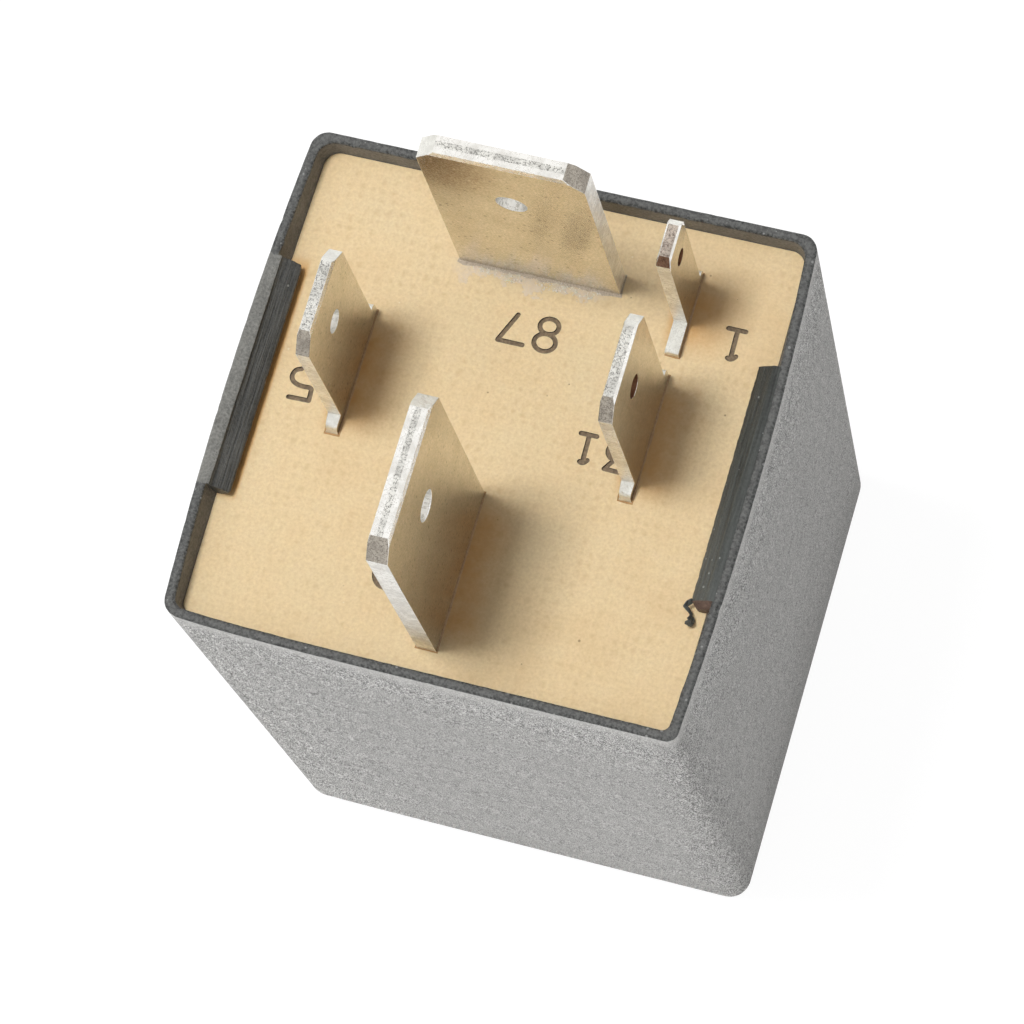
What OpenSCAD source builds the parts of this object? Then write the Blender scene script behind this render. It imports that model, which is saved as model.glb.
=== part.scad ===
// Electronic relay for a vehicle, with five blade terminals: 15, 30, 31, 87 and 1.
// It stands on the closed end of its cover, blades up. Z = 0 is the closed end, and the
// cover's centre is X = Y = 0. All sizes are millimetres. The cover is a moulded cup with
// a small draft. A laminate board closes its mouth and carries everything: the blades on
// its outer face, and inside it the yoke, the coil, the contacts and the circuit board.

/* [Cover] */
// Outside length of the cover at its open rim, along X
cover_x = 29.8; // [28.5:0.1:34]
// Outside width of the cover at its open rim, along Y
cover_y = 29.6; // [28.5:0.1:34]
// Height of the cover
cover_h = 40; // [38:0.5:46]
// Thickness of the side walls
wall_t = 1.2; // [1:0.05:1.4]
// Thickness of the closed end
end_t = 1.4; // [1:0.1:2]
// How much narrower each side gets at the closed end
draft = 0.3; // [0:0.05:0.5]
// How far the two hooked walls bow outwards at the rim
bow = 0.5; // [0:0.05:0.8]
// Radius of the upright corners at the rim
corner_r = 1.5; // [1:0.1:2.2]
// Radius of the upright corners at the closed end
end_corner_r = 2.2; // [1.5:0.1:3]
// Radius of the edge around the closed end
end_edge_r = 1.0; // [0.4:0.1:1.2]
// Thickness of the thin lip that stands around the board
lip_t = 0.6; // [0.45:0.05:0.7]

/* [Snap hooks] */
// Length of each snap hook along the rim
hook_l = 14; // [8:0.5:18]
// Where the middle of the hooks lies along Y
hook_y = -0.2; // [-2:0.1:2]
// How far a hook reaches over the edge of the board
hook_over = 0.75; // [0.4:0.05:1.1]
// Thickness of the rim beside a hook, where a flat band carries it
hook_band_t = 0.87; // [0.75:0.01:1]

/* [Base board] */
// Thickness of the laminate board that closes the cover
board_t = 1.6; // [1.2:0.1:2]
// Depth of the board's outer face below the rim
board_recess = 1.5; // [1.2:0.1:2.2]
// Gap between the board's edge and the lip
board_gap = 0.1; // [0.05:0.01:0.15]
// Radius of the board's corners
board_r = 1.2; // [0.6:0.1:2]

/* [Blade terminals] */
// Width of the two wide blades
wide_w = 9.5; // [9:0.1:10]
// Thickness of the two wide blades
wide_t = 1.2; // [1:0.05:1.4]
// Width of the two middle blades
mid_w = 6.3; // [6:0.1:6.6]
// Thickness of the middle and small blades
mid_t = 0.8; // [0.7:0.05:0.9]
// Width of the small blade
small_w = 2.8; // [2.6:0.1:3.2]
// Height of blade 87 above the board
blade_87_h = 16; // [13:0.1:18]
// Height of blade 30 above the board
blade_30_h = 16.7; // [13:0.1:18]
// Height of blade 15 above the board
blade_15_h = 11.2; // [9:0.1:13]
// Height of blade 31 above the board
blade_31_h = 11.6; // [9:0.1:13]
// Height of blade 1 above the board
blade_1_h = 9.3; // [8:0.1:11]
// Chamfer at the tip corners of the wide and middle blades
tip_chamfer = 1.1; // [0.6:0.1:1.4]
// Radius of the latch hole in the wide blades
wide_hole_r = 1.05; // [0.8:0.05:1.3]
// Radius of the latch hole in the middle blades
mid_hole_r = 0.8; // [0.6:0.05:1]
// Radius of the latch hole in the small blade
small_hole_r = 0.6; // [0.5:0.05:0.7]
// Distance of the latch hole from the tip, wide blades
wide_hole_drop = 5.2; // [4:0.1:6]
// Distance of the latch hole from the tip, middle blades
mid_hole_drop = 3.7; // [3:0.1:5]
// Distance of the latch hole from the tip, small blade
small_hole_drop = 2.2; // [1.8:0.1:3]

/* [Terminal places] */
// X of the middle of blades 87 and 30, and of the relay inside
axis_x = -0.15; // [-0.4:0.05:0.4]
// Y of the middle of blade 87
blade_87_y = 9.95; // [9.8:0.05:10.6]
// Y of the middle of blade 30
blade_30_y = -8.4; // [-9:0.05:-8]
// X of the middle of blade 15
blade_15_x = -9; // [-9.8:0.05:-8.8]
// Y of the middle of blades 15 and 31
blade_15_y = 1.75; // [1:0.05:2.4]
// X of the middle of blade 31
blade_31_x = 8.2; // [8.1:0.05:8.8]
// X of the middle of blade 1
blade_1_x = 8.45; // [8.2:0.05:9]
// Y of the middle of blade 1
blade_1_y = 9.8; // [9.6:0.05:10.4]

/* [Magnet system] */
// Width of the yoke and its foot
yoke_w = 12; // [10:0.5:13]
// Thickness of the yoke
yoke_t = 2; // [1.6:0.1:2.2]
// Y of the yoke's outer back face
yoke_back_y = -11.8; // [-12:0.1:-11.6]
// Y of the axis of the core and coil
core_y = -1.4; // [-1.8:0.1:-1.2]
// Radius of the core
core_r = 3; // [2.5:0.1:3.2]
// Radius of the pole shoe at the core's free end
pole_r = 4.5; // [4:0.1:5]
// Thickness of the pole shoe
pole_t = 1; // [0.8:0.1:1.4]
// Height of the pole face above the outside of the closed end, which leaves room for the
// armature and for the timing capacitor under it
pole_face = 15.9; // [15.4:0.1:17]
// Radius of the finished winding
winding_r = 6.2; // [5.5:0.1:6.3]
// Thickness of the armature
armature_t = 1.6; // [1.4:0.1:1.8]
// Length of the armature from its pivot to its free end
armature_l = 16.4; // [15.5:0.1:17]
// Width of the armature
armature_w = 11; // [9.5:0.1:12]
// Angle by which the armature hangs open at rest
open_angle = 3; // [2.5:0.1:3.5]
// Angle that the armature turns before the contacts meet
close_travel = 2.5; // [2:0.1:2.5]

/* [Contacts] */
// Thickness of the leaf that carries the moving contact
leaf_t = 0.3; // [0.2:0.05:0.35]
// Width of the leaf along the yoke and armature
leaf_w = 8; // [6:0.5:9]
// Y of the middle of both contacts
contact_y = 7.8; // [7.7:0.05:7.9]
// Radius of the contact heads
contact_r = 1.5; // [1.3:0.05:1.6]
// Height of each contact head
contact_h = 0.9; // [0.7:0.05:1.1]
// Width of the leg that carries the fixed contact
leg_87_w = 5; // [4:0.1:6]

/* [Circuit board] */
// Thickness of the upright circuit board
pcb_t = 1.2; // [1:0.1:1.4]
// Gap between the circuit board and the cover's side wall, which holds the solder
pcb_back_gap = 1.05; // [0.9:0.05:1.2]
// Gap between the circuit board's side edges and the cover
pcb_side_gap = 0.5; // [0.3:0.05:0.6]
// Gap between the circuit board's lower edge and the closed end
pcb_end_gap = 0.8; // [0.4:0.1:1]
// Radius of the component leads
lead_r = 0.3; // [0.25:0.01:0.32]

/* [Hidden] */
$fn = 40;
// Small extra length that lets a cut run out through a face
cut = 0.5;
// Gap of a tight fit between two pieces of one assembly
fit = 0.05;

// Levels, counted up from the closed end
board_top = cover_h - board_recess;
board_bottom = board_top - board_t;
foot_bottom = board_bottom - yoke_t;
bobbin_bottom = pole_face + pole_t;
bobbin_l = foot_bottom - bobbin_bottom;

// Cover
inner_x = cover_x / 2 - draft - wall_t;
inner_y = cover_y / 2 - draft - wall_t;
inner_r = 0.6;
lip_inner_r = corner_r - lip_t;
slab_t = 0.02;
hook_drop = 0.25;
hook_slope = 0.5;
hook_nose = 0.3;
hook_seat = 0.12;

// Base board
board_x = cover_x - 2 * lip_t - 2 * board_gap;
board_y = cover_y - 2 * lip_t - 2 * board_gap;

// Blade tips, shoulders and tails
wide_bevel_h = 0.6;
wide_bevel_d = 0.3;
mid_bevel_h = 0.35;
mid_bevel_d = 0.17;
small_chamfer = 0.45;
shoulder_w = 0.45;
shoulder_h = 1.25;
knob_w = 0.95;
knob_h = 0.75;
knob_r = 0.35;
foot_w = 1.9;
foot_h = 0.5;
foot_r = 0.15;
nub_h = 0.75;
mid_tail_w = 5;
small_tail_w = 1.6;
tail_drop = 3.2;
strip_bend_r = 0.5;
pcb_foot_w = 3;
lead_out = 0.5;
lead_bend_r = 0.8;
solder_rim = 0.7;
solder_h = 0.45;
solder_foot = 0.45;
solder_tip = 0.12;
foot_solder_rim = 0.4;

// Magnet system
yoke_bend_r = 0.6;
foot_front = 7.2;
foot_front_y = core_y + foot_front;
yoke_inner_y = yoke_back_y + yoke_t;
tenon_w = 3.2;
tenon_back = 4.9;
tenon_y = core_y - tenon_back;
stake_r = 2;
flange_x = 13.5;
flange_y = 14;
flange_t = 1;
pin_flange_t = 1.6;
former_t = 0.8;
tape_t = 0.15;
pin_r = 0.4;
pin_in = 1.2;
pin_z = bobbin_bottom + pin_flange_t / 2;
pin_back = 5;
pin_front = 2.2;
pin_back_y = core_y - pin_back;
pin_front_y = core_y + pin_front;
pin_ys = [pin_back_y, pin_front_y];

// Armature and its pivot, the outer lower edge of the yoke
armature_in = 0.25;
armature_back_y = yoke_back_y + armature_in;
pivot = [0, armature_back_y, pole_face];
pivot_gap = 0.02;
lug_w = 1.2;
lug_h = 1;
lug_gap = 0.2;
notch_depth = 1.9;
armature_rivet_r = 1;
armature_rivet_in = 6;
armature_rivet_step = 6.6;
armature_rivet_ys = [for (k = [0, 1])
                        armature_back_y + armature_rivet_in + k * armature_rivet_step];

// Leaf
leaf_z = pole_face - pivot_gap - armature_t;
leaf_rise = 11.5;
leaf_top_z = pole_face + leaf_rise;
leaf_bend_r = 0.75;
leaf_dip = 0.25;
leaf_free = 3.6;
leaf_tip_over = 2.1;
leaf_tip_y = contact_y + leaf_tip_over;
leaf_tip_w = 4.4;
leaf_corner = 1;
leaf_neck = 2;
leaf_neck_y = contact_y - leaf_neck;
leaf_wide_y = contact_y - 2 * leaf_neck;
leaf_rivet_r = 0.8;
leaf_rivet_x = 2.4;
leaf_rivet_drop = 2.2;
leaf_rivet_z = leaf_top_z - leaf_rivet_drop;
rivet_head_h = 0.5;

// Contacts: the fixed one hangs where the moving one stops, less a hair
contact_shank_r = 0.9;
contact_tail_h = 0.4;
contact_gap = 0.04;
contact_reach = contact_y - armature_back_y;
stop_angle = open_angle - close_travel;
moving_face_z = leaf_z + contact_h;
fixed_face_z = pole_face + (moving_face_z - pole_face) * cos(stop_angle)
               - (contact_reach - contact_r) * sin(stop_angle) + contact_gap;
foot_87_z = fixed_face_z + contact_h;
foot_87_over = 0.45;
leg_bend_r = 0.3;

// Backstop under the armature's free end
stop_t = 0.6;
stop_front = 4.2;
stop_w = 2;
stop_gap = 0.06;
stop_y0 = core_y + stop_front;
stop_y1 = stop_y0 + stop_w;
stop_top_z = pole_face + (leaf_z - leaf_t - pole_face) * cos(open_angle)
             - (stop_y1 - armature_back_y) * sin(open_angle) - stop_gap;
stop_lug = 0.45;

// Circuit board, in the plane of Y and Z, with its parts on the coil's side
pcb_out = inner_x - pcb_back_gap;
pcb_in = pcb_out - pcb_t;
pcb_half_y = inner_y - pcb_side_gap;
pcb_bottom = end_t + pcb_end_gap;
guide_t = 0.8;
guide_gap = 0.1;
guide_over = 0.6;
foot_z = board_bottom - tail_drop;

// Parts on the circuit board. Those of the upper group hang from the base board, and those
// of the lower group stand on the board's lower edge. Each place is [y, z] of its middle
axial_pitch = 10.16;
short_pitch = 7.62;
radial_pitch = 5.08;
ceramic_pitch = 2.54;
can_pitch = 3.5;
column = 2.95;
high_drop = 9;
high_z = board_bottom - high_drop;
low_z = pcb_bottom;
column_start = 0.5;
first_column_y = core_y + column_start;
side_in = 1.85;
side_y = pcb_half_y - side_in;
can_back = 5.6;
can_rise = 4.1;
can_at = [core_y - can_back, low_z + can_rise];
film_front = 6;
film_rise = 2.4;
film_at = [core_y + film_front, low_z + film_rise];
short_resistor_rise = 11.4;
short_resistor_at = [-side_y, low_z + short_resistor_rise];
low_resistor_rise = 5.9;
low_resistor_at = [core_y, low_z + low_resistor_rise];
resistor_at = concat([for (k = [0:3]) [first_column_y + k * column, high_z]],
                     [short_resistor_at, low_resistor_at]);
diode_in = 0.2;
diode_1_at = [side_y - diode_in, high_z];
diode_2_rise = 13.1;
diode_2_at = [(pin_back_y + pin_front_y) / 2, low_z + diode_2_rise];
zener_in = 0.15;
zener_rise = 11.2;
zener_at = [first_column_y + 3 * column - zener_in, low_z + zener_rise];
chip_back = 6.1;
chip_at = [core_y - chip_back, high_z];
disc_in = 0.35;
disc_rise = 3.8;
disc_step = 6.2;
ceramic_at = [for (k = [0, 1]) [side_y - disc_in, low_z + disc_rise + k * disc_step]];
transistor_front = 4.6;
transistor_rise = 6.8;
transistor_at = [core_y + transistor_front, low_z + transistor_rise];
transistor_pitch = 1.9;

// Sizes of the parts on the circuit board
chip_row = 7.62;
chip_pin_pitch = 2.54;
chip_l = 9.8;
chip_w = 6.4;
chip_h = 3.2;
chip_lift = 0.5;
chip_leg_t = 0.3;
chip_leg_w = 1.2;
can_r = 4;
can_l = 11.5;
can_lift = 0.4;
seal_r = can_r - 0.7;
seal_h = 0.8;
film_l = 7.3;
film_t = 2.8;
film_h = 6.4;
disc_r = 2.3;
disc_t = 1.8;
resistor_l = 6.3;
resistor_r = 1.15;
short_resistor_l = 4.2;
short_resistor_r = 0.85;
diode_l = 5.2;
diode_r = 1.35;
zener_l = 4;
zener_r = 0.95;
transistor_r = 2.4;
transistor_h = 4.6;
transistor_lift = 1.5;
transistor_flat = 1.2;
wire_r = 0.4;
wire_drop = 2.4;
wire_z = board_bottom - wire_drop;
wire_front = 9.1;
wire_y = core_y + wire_front;
wire_bend_r = 1.2;
wire_start = 0.3;

// Outline of the cover: a rectangle with round corners, whose two X sides bow outwards
function corner_arc(cx, cy, r, start) =
    [for (k = [0:5]) [cx + r * cos(start + 18 * k), cy + r * sin(start + 18 * k)]];
function side_run(x, y0, y1) = [for (k = [1:7]) [x, y0 + (y1 - y0) * k / 8]];
function round_rectangle(x, y, r) =
    concat(side_run(x / 2, -y / 2 + r, y / 2 - r),
           corner_arc(x / 2 - r, y / 2 - r, r, 0),
           corner_arc(-x / 2 + r, y / 2 - r, r, 90),
           side_run(-x / 2, y / 2 - r, -y / 2 + r),
           corner_arc(-x / 2 + r, -y / 2 + r, r, 180),
           corner_arc(x / 2 - r, -y / 2 + r, r, 270));
function bowed(points, y, bulge) =
    [for (p = points) [p[0] + sign(p[0]) * bulge * max(0, 1 - pow(2 * p[1] / y, 2)), p[1]]];
function cover_outline(x, y, r, bulge) = bowed(round_rectangle(x, y, r), y, bulge);

// A plate outline with true round corners
module rounded_plate(x, y, r) {
    square([x - 2 * r, y], center = true);
    square([x, y - 2 * r], center = true);
    for (sx = [-1, 1], sy = [-1, 1])
        translate([sx * (x / 2 - r), sy * (y / 2 - r)])
            circle(r = r);
}

// An L of strip: one leg up, one leg to the right, with a true bend
module bent_strip(t, r, up, along) {
    translate([-r - t, 0])
        square([t, up]);
    translate([0, -r - t])
        square([along, t]);
    difference() {
        circle(r = r + t);
        circle(r = r);
        translate([0, -r - t - 1])
            square([r + t + 1, 2 * (r + t + 1)]);
        translate([-r - t - 1, 0])
            square([2 * (r + t + 1), r + t + 1]);
    }
}

// Turns its children with the armature, open at rest
module at_armature() {
    translate(pivot)
        rotate([-open_angle, 0, 0])
            translate(-pivot)
                children();
}

// A wedge that bevels one face of a blade along one of its edges
module bevel_wedge(length, t, h, d) {
    rotate([90, 0, 90])
        linear_extrude(height = length, center = true)
            polygon([[t / 2, -h], [t / 2 - d - d * cut / h, cut], [t / 2 + cut, cut],
                     [t / 2 + cut, -h]]);
}

// A blade in the plane of X and Z, standing on z = 0
module blade(w, t, h, chamfer, bevel_h, bevel_d, hole_r, hole_drop) {
    slant = sqrt(2) * chamfer / 2;
    difference() {
        rotate([90, 0, 0])
            linear_extrude(height = t, center = true)
                polygon([[-w / 2, 0], [w / 2, 0], [w / 2, h - chamfer], [w / 2 - chamfer, h],
                         [chamfer - w / 2, h], [-w / 2, h - chamfer]]);
        translate([0, 0, h - hole_drop])
            rotate([90, 0, 0])
                cylinder(r = hole_r, h = t + 2 * cut, center = true);
        for (face = [0, 180])
            rotate([0, 0, face]) {
                translate([0, 0, h])
                    bevel_wedge(w + 2 * cut, t, bevel_h, bevel_d);
                for (side = [-1, 1])
                    translate([side * (w - chamfer) / 2, 0, h - chamfer / 2])
                        rotate([0, side * 45, 0])
                            bevel_wedge(4 * slant, t, bevel_h, bevel_d);
            }
    }
}

// The part of a blade's foot that stands out at its side and rests on the board
module shoulder(w, reach, h, t, r) {
    rotate([90, 0, 0])
        linear_extrude(height = t, center = true) {
            translate([w / 2 - cut, 0])
                square([reach + cut - r, h]);
            translate([w / 2 - cut, 0])
                square([reach + cut, h - r]);
            translate([w / 2 + reach - r, h - r])
                circle(r = r);
        }
}

// A tail that goes down through the board from z = 0. The strips below the board reach up
// into it by the length of a cut, so that each terminal stays in one piece
module tail(w, t, depth) {
    translate([-w / 2, -t / 2, -depth])
        cube([w, t, depth + cut]);
}

// Puts a blade's children on the board, in the plane of Y and Z
module blade_place(x, y) {
    translate([x, y, board_top])
        rotate([0, 0, 90])
            children();
}

// The end of a strip that runs down from the board and turns to the circuit board
module pcb_foot(x, y, w, t) {
    r = strip_bend_r;
    translate([x + t / 2 + r, y, foot_z + t + r])
        rotate([90, 0, 0])
            linear_extrude(height = w, center = true)
                bent_strip(t, r, board_bottom + cut - foot_z - t - r,
                           pcb_out + lead_out - x - t / 2 - r);
}

// Puts its children on the circuit board: local z is height above it, local x runs up
module on_pcb(at) {
    translate([pcb_in, at[0], at[1]])
        rotate([0, -90, 0])
            children();
}

// Two wire ends that leave a body along x at height z and turn down into the board
module axial_leads(pitch, z) {
    r = lead_bend_r;
    depth = z - r + pcb_t + lead_out;
    rotate([0, 90, 0])
        translate([-z, 0, 0])
            cylinder(r = lead_r, h = pitch - 2 * r, center = true);
    for (side = [0, 180])
        rotate([0, 0, side])
            translate([pitch / 2 - r, 0, z - r]) {
                rotate([90, 0, 0])
                    rotate_extrude(angle = 90)
                        translate([r, 0])
                            circle(r = lead_r, $fn = 20);
                translate([r, 0, -depth])
                    cylinder(r = lead_r, h = depth);
            }
}

// Straight leads down through the board, a pitch apart along x
module radial_leads(pitch, top) {
    for (side = [-1, 1])
        translate([side * pitch / 2, 0, -pcb_t - lead_out])
            cylinder(r = lead_r, h = pcb_t + lead_out + top);
}

// Where every round lead passes the circuit board, as [y, z]
function pair_up(at, pitch) = [[at[0], at[1] - pitch / 2], [at[0], at[1] + pitch / 2]];
function pair_across(at, pitch) = [[at[0] - pitch / 2, at[1]], [at[0] + pitch / 2, at[1]]];
function chip_leads() =
    [for (side = [-1, 1], k = [-1.5:1:1.5])
        [chip_at[0] + side * chip_row / 2, chip_at[1] + k * chip_pin_pitch]];
function resistor_pitch(i) = i == 4 ? short_pitch : axial_pitch;
function resistor_leads() =
    [for (i = [0:len(resistor_at) - 1], p = pair_up(resistor_at[i], resistor_pitch(i))) p];
function ceramic_leads() = [for (at = ceramic_at, p = pair_up(at, ceramic_pitch)) p];
function transistor_leads() =
    [for (k = [-1:1]) [transistor_at[0] + k * transistor_pitch, transistor_at[1]]];
function thin_leads() =
    concat(resistor_leads(), pair_up(diode_1_at, axial_pitch),
           pair_across(diode_2_at, axial_pitch), pair_up(zener_at, short_pitch),
           pair_across(can_at, can_pitch), pair_across(film_at, radial_pitch),
           ceramic_leads(), transistor_leads(), chip_leads());
function thick_leads() = [for (y = pin_ys) [y, pin_z], [wire_y, wire_z]];

// Cover, with its ledge, snap hooks and the guides for the circuit board
module hook() {
    rim = cover_x / 2 + bow;
    root = rim - lip_t / 2;
    band = rim - hook_band_t;
    tip = board_x / 2 - hook_over;
    nose_top = cover_h - hook_drop - hook_slope;
    translate([0, hook_y, 0])
        rotate([90, 0, 0])
            linear_extrude(height = hook_l, center = true)
                polygon([[root, board_top], [root, cover_h - fit], [band, cover_h - fit],
                         [band - fit, cover_h - hook_drop], [tip + hook_seat, nose_top],
                         [tip, nose_top - hook_nose / 2], [tip + fit, nose_top - hook_nose],
                         [board_x / 2 - hook_seat, board_top]]);
}

module guide_pair() {
    length = bobbin_bottom + bobbin_l / 2;
    for (x = [pcb_in - guide_gap - guide_t, pcb_out + guide_gap])
        translate([x, pcb_half_y - guide_over, end_t - cut])
            cube([guide_t, inner_y + 0.3 - pcb_half_y + guide_over, length - end_t + cut]);
}

module cover() {
    color([0.45, 0.45, 0.45])
        union() {
            difference() {
                hull() {
                    for (a = [0:30:90]) {
                        inset = end_edge_r * (1 - sin(a));
                        translate([0, 0, end_edge_r * (1 - cos(a))])
                            linear_extrude(height = slab_t)
                                polygon(cover_outline(cover_x - 2 * draft - 2 * inset,
                                                      cover_y - 2 * draft - 2 * inset,
                                                      end_corner_r - inset / 2, 0));
                    }
                    translate([0, 0, cover_h - slab_t])
                        linear_extrude(height = slab_t)
                            polygon(cover_outline(cover_x, cover_y, corner_r, bow));
                }
                hull() {
                    translate([0, 0, end_t])
                        linear_extrude(height = slab_t)
                            polygon(cover_outline(2 * inner_x, 2 * inner_y, inner_r, 0));
                    translate([0, 0, cover_h + cut])
                        linear_extrude(height = slab_t)
                            polygon(cover_outline(cover_x - 2 * wall_t, cover_y - 2 * wall_t,
                                                  inner_r, bow));
                }
                translate([0, 0, board_bottom])
                    linear_extrude(height = cover_h)
                        polygon(cover_outline(cover_x - 2 * lip_t, cover_y - 2 * lip_t,
                                              lip_inner_r, bow));
            }
            hook();
            mirror([1, 0, 0])
                hook();
            guide_pair();
            mirror([0, 1, 0])
                guide_pair();
        }
}

// Base board, slotted for the five terminals
module slot(x, y, wx, wy) {
    translate([x - wx / 2 - fit, y - wy / 2 - fit, board_bottom - cut])
        cube([wx + 2 * fit, wy + 2 * fit, board_t + 2 * cut]);
}

module base_board() {
    color([0.89, 0.78, 0.59])
        difference() {
            translate([0, 0, board_bottom])
                linear_extrude(height = board_t)
                    rounded_plate(board_x, board_y, board_r);
            slot(axis_x, blade_87_y, wide_w, wide_t);
            slot(axis_x, blade_30_y, wide_t, wide_w);
            slot(blade_15_x, blade_15_y, mid_t, mid_tail_w);
            slot(blade_31_x, blade_15_y, mid_t, mid_tail_w);
            slot(blade_1_x, blade_1_y, mid_t, small_tail_w);
        }
}

// Terminals
module wide_blade(h) {
    blade(wide_w, wide_t, h, tip_chamfer, wide_bevel_h, wide_bevel_d, wide_hole_r,
          wide_hole_drop);
    tail(wide_w, wide_t, board_t);
}

module mid_blade(h) {
    blade(mid_w, mid_t, h, tip_chamfer, mid_bevel_h, mid_bevel_d, mid_hole_r, mid_hole_drop);
    shoulder(mid_w, shoulder_w, shoulder_h, mid_t, shoulder_w * 0.9);
    rotate([0, 0, 180])
        shoulder(mid_w, knob_w, knob_h, mid_t, knob_r);
    tail(mid_tail_w, mid_t, board_t);
}

module terminal_87() {
    foot_end_y = contact_y - contact_r - foot_87_over;
    bend_y = blade_87_y - wide_t / 2 - leg_bend_r;
    bend_z = foot_87_z + wide_t + leg_bend_r;
    color([0.8, 0.78, 0.72])
        difference() {
            union() {
                translate([axis_x, blade_87_y, board_top])
                    wide_blade(blade_87_h);
                translate([axis_x, bend_y, bend_z])
                    mirror([0, 1, 0])
                        rotate([90, 0, 90])
                            linear_extrude(height = leg_87_w, center = true)
                                bent_strip(wide_t, leg_bend_r, board_bottom + cut - bend_z,
                                           bend_y - foot_end_y);
            }
            translate([axis_x, contact_y, foot_87_z - cut])
                cylinder(r = contact_shank_r, h = wide_t + 2 * cut);
        }
}

module terminal_30() {
    color([0.8, 0.78, 0.72]) {
        blade_place(axis_x, blade_30_y)
            wide_blade(blade_30_h);
        translate([axis_x - wide_t / 2, tenon_y - tenon_w / 2, foot_bottom])
            cube([wide_t, tenon_w, yoke_t + cut]);
    }
}

module terminal_15() {
    color([0.8, 0.78, 0.72])
        blade_place(blade_15_x, blade_15_y) {
            mid_blade(blade_15_h);
            tail(pcb_foot_w, mid_t, board_t + tail_drop);
        }
}

module terminal_31() {
    color([0.8, 0.78, 0.72]) {
        blade_place(blade_31_x, blade_15_y)
            mid_blade(blade_31_h);
        pcb_foot(blade_31_x, blade_15_y, pcb_foot_w, mid_t);
    }
}

module terminal_1() {
    color([0.8, 0.78, 0.72]) {
        blade_place(blade_1_x, blade_1_y) {
            blade(small_w, mid_t, blade_1_h, small_chamfer, mid_bevel_h, mid_bevel_d,
                  small_hole_r, small_hole_drop);
            shoulder(small_w, shoulder_w, nub_h, mid_t, shoulder_w * 0.9);
            rotate([0, 0, 180])
                shoulder(small_w, foot_w, foot_h, mid_t, foot_r);
            tail(small_tail_w, mid_t, board_t);
        }
        pcb_foot(blade_1_x, blade_1_y, small_tail_w, mid_t);
    }
}

// Solder around the tails, on the inner face of the base board
module tail_solder(x, y, wx, wy) {
    rim = solder_rim;
    difference() {
        translate([x, y, board_bottom - solder_h])
            linear_extrude(height = solder_h)
                rounded_plate(wx + 2 * rim, wy + 2 * rim, rim * 0.9);
        translate([x - wx / 2, y - wy / 2, board_bottom - solder_h - cut])
            cube([wx, wy, solder_h + 2 * cut]);
    }
}

module base_solder() {
    color([0.7, 0.7, 0.7]) {
        tail_solder(axis_x, blade_87_y, leg_87_w, wide_t);
        tail_solder(blade_15_x, blade_15_y, mid_t, pcb_foot_w);
        tail_solder(blade_31_x, blade_15_y, mid_t, pcb_foot_w);
        tail_solder(blade_1_x, blade_1_y, mid_t, small_tail_w);
    }
}

// Yoke: a bent plate whose foot lies on the board and whose leg ends at the pivot
module yoke() {
    bend_y = yoke_inner_y + yoke_bend_r;
    bend_z = foot_bottom - yoke_bend_r;
    color([0.72, 0.72, 0.7])
        difference() {
            union() {
                translate([axis_x, bend_y, bend_z])
                    mirror([0, 0, 1])
                        rotate([90, 0, 90])
                            linear_extrude(height = yoke_w, center = true)
                                bent_strip(yoke_t, yoke_bend_r, bend_z - pole_face,
                                           foot_front_y - bend_y);
                for (side = [-1, 1])
                    translate([axis_x + side * (yoke_w / 2 - lug_w / 2) - lug_w / 2,
                               armature_back_y + 0.1, pole_face - lug_h])
                        cube([lug_w, yoke_t - 0.55, lug_h + cut]);
            }
            translate([axis_x, core_y, foot_bottom - cut])
                cylinder(r = stake_r, h = yoke_t + 2 * cut);
            translate([axis_x - wide_t / 2, tenon_y - tenon_w / 2, foot_bottom - cut])
                cube([wide_t, tenon_w, yoke_t + 2 * cut]);
            for (side = [-1, 1])
                translate([axis_x + side * leaf_rivet_x, yoke_back_y - cut, leaf_rivet_z])
                    rotate([-90, 0, 0])
                        cylinder(r = leaf_rivet_r, h = yoke_t + 2 * cut);
        }
}

// Core: staked in the yoke's foot, with a pole shoe at the free end
module core() {
    edge = 0.25;
    color([0.6, 0.6, 0.58])
        translate([axis_x, core_y, pole_face])
            rotate_extrude()
                polygon([[0, 0], [pole_r - edge, 0], [pole_r, edge], [pole_r, pole_t],
                         [core_r, pole_t], [core_r, foot_bottom - pole_face],
                         [stake_r, foot_bottom - pole_face],
                         [stake_r, board_bottom - pole_face], [0, board_bottom - pole_face]]);
}

// Bobbin: the moulded coil former, with holes for the two pins
module bobbin() {
    color([0.2, 0.2, 0.22])
        difference() {
            translate([axis_x, core_y, bobbin_bottom]) {
                linear_extrude(height = pin_flange_t)
                    rounded_plate(flange_x, flange_y, 1.5);
                cylinder(r = core_r + fit + former_t, h = bobbin_l);
                translate([0, 0, bobbin_l - flange_t])
                    linear_extrude(height = flange_t)
                        rounded_plate(flange_x, flange_y, 1.5);
            }
            translate([axis_x, core_y, bobbin_bottom - cut])
                cylinder(r = core_r + fit, h = bobbin_l + 2 * cut);
            for (y = pin_ys)
                translate([axis_x + flange_x / 2 - pin_in, y, pin_z])
                    rotate([0, 90, 0])
                        cylinder(r = pin_r, h = pin_in + cut);
        }
}

// Winding, and the tape around it
module sleeve(r_in, r_out, low, high) {
    translate([axis_x, core_y, low])
        difference() {
            cylinder(r = r_out, h = high - low);
            translate([0, 0, -cut])
                cylinder(r = r_in, h = high - low + 2 * cut);
        }
}

module winding() {
    color([0.65, 0.3, 0.15])
        sleeve(core_r + fit + former_t, winding_r, bobbin_bottom + pin_flange_t,
               foot_bottom - flange_t);
}

module coil_tape() {
    color([0.85, 0.7, 0.25])
        sleeve(winding_r, winding_r + tape_t, bobbin_bottom + pin_flange_t + 0.4,
               foot_bottom - flange_t - 0.4);
}

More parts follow.
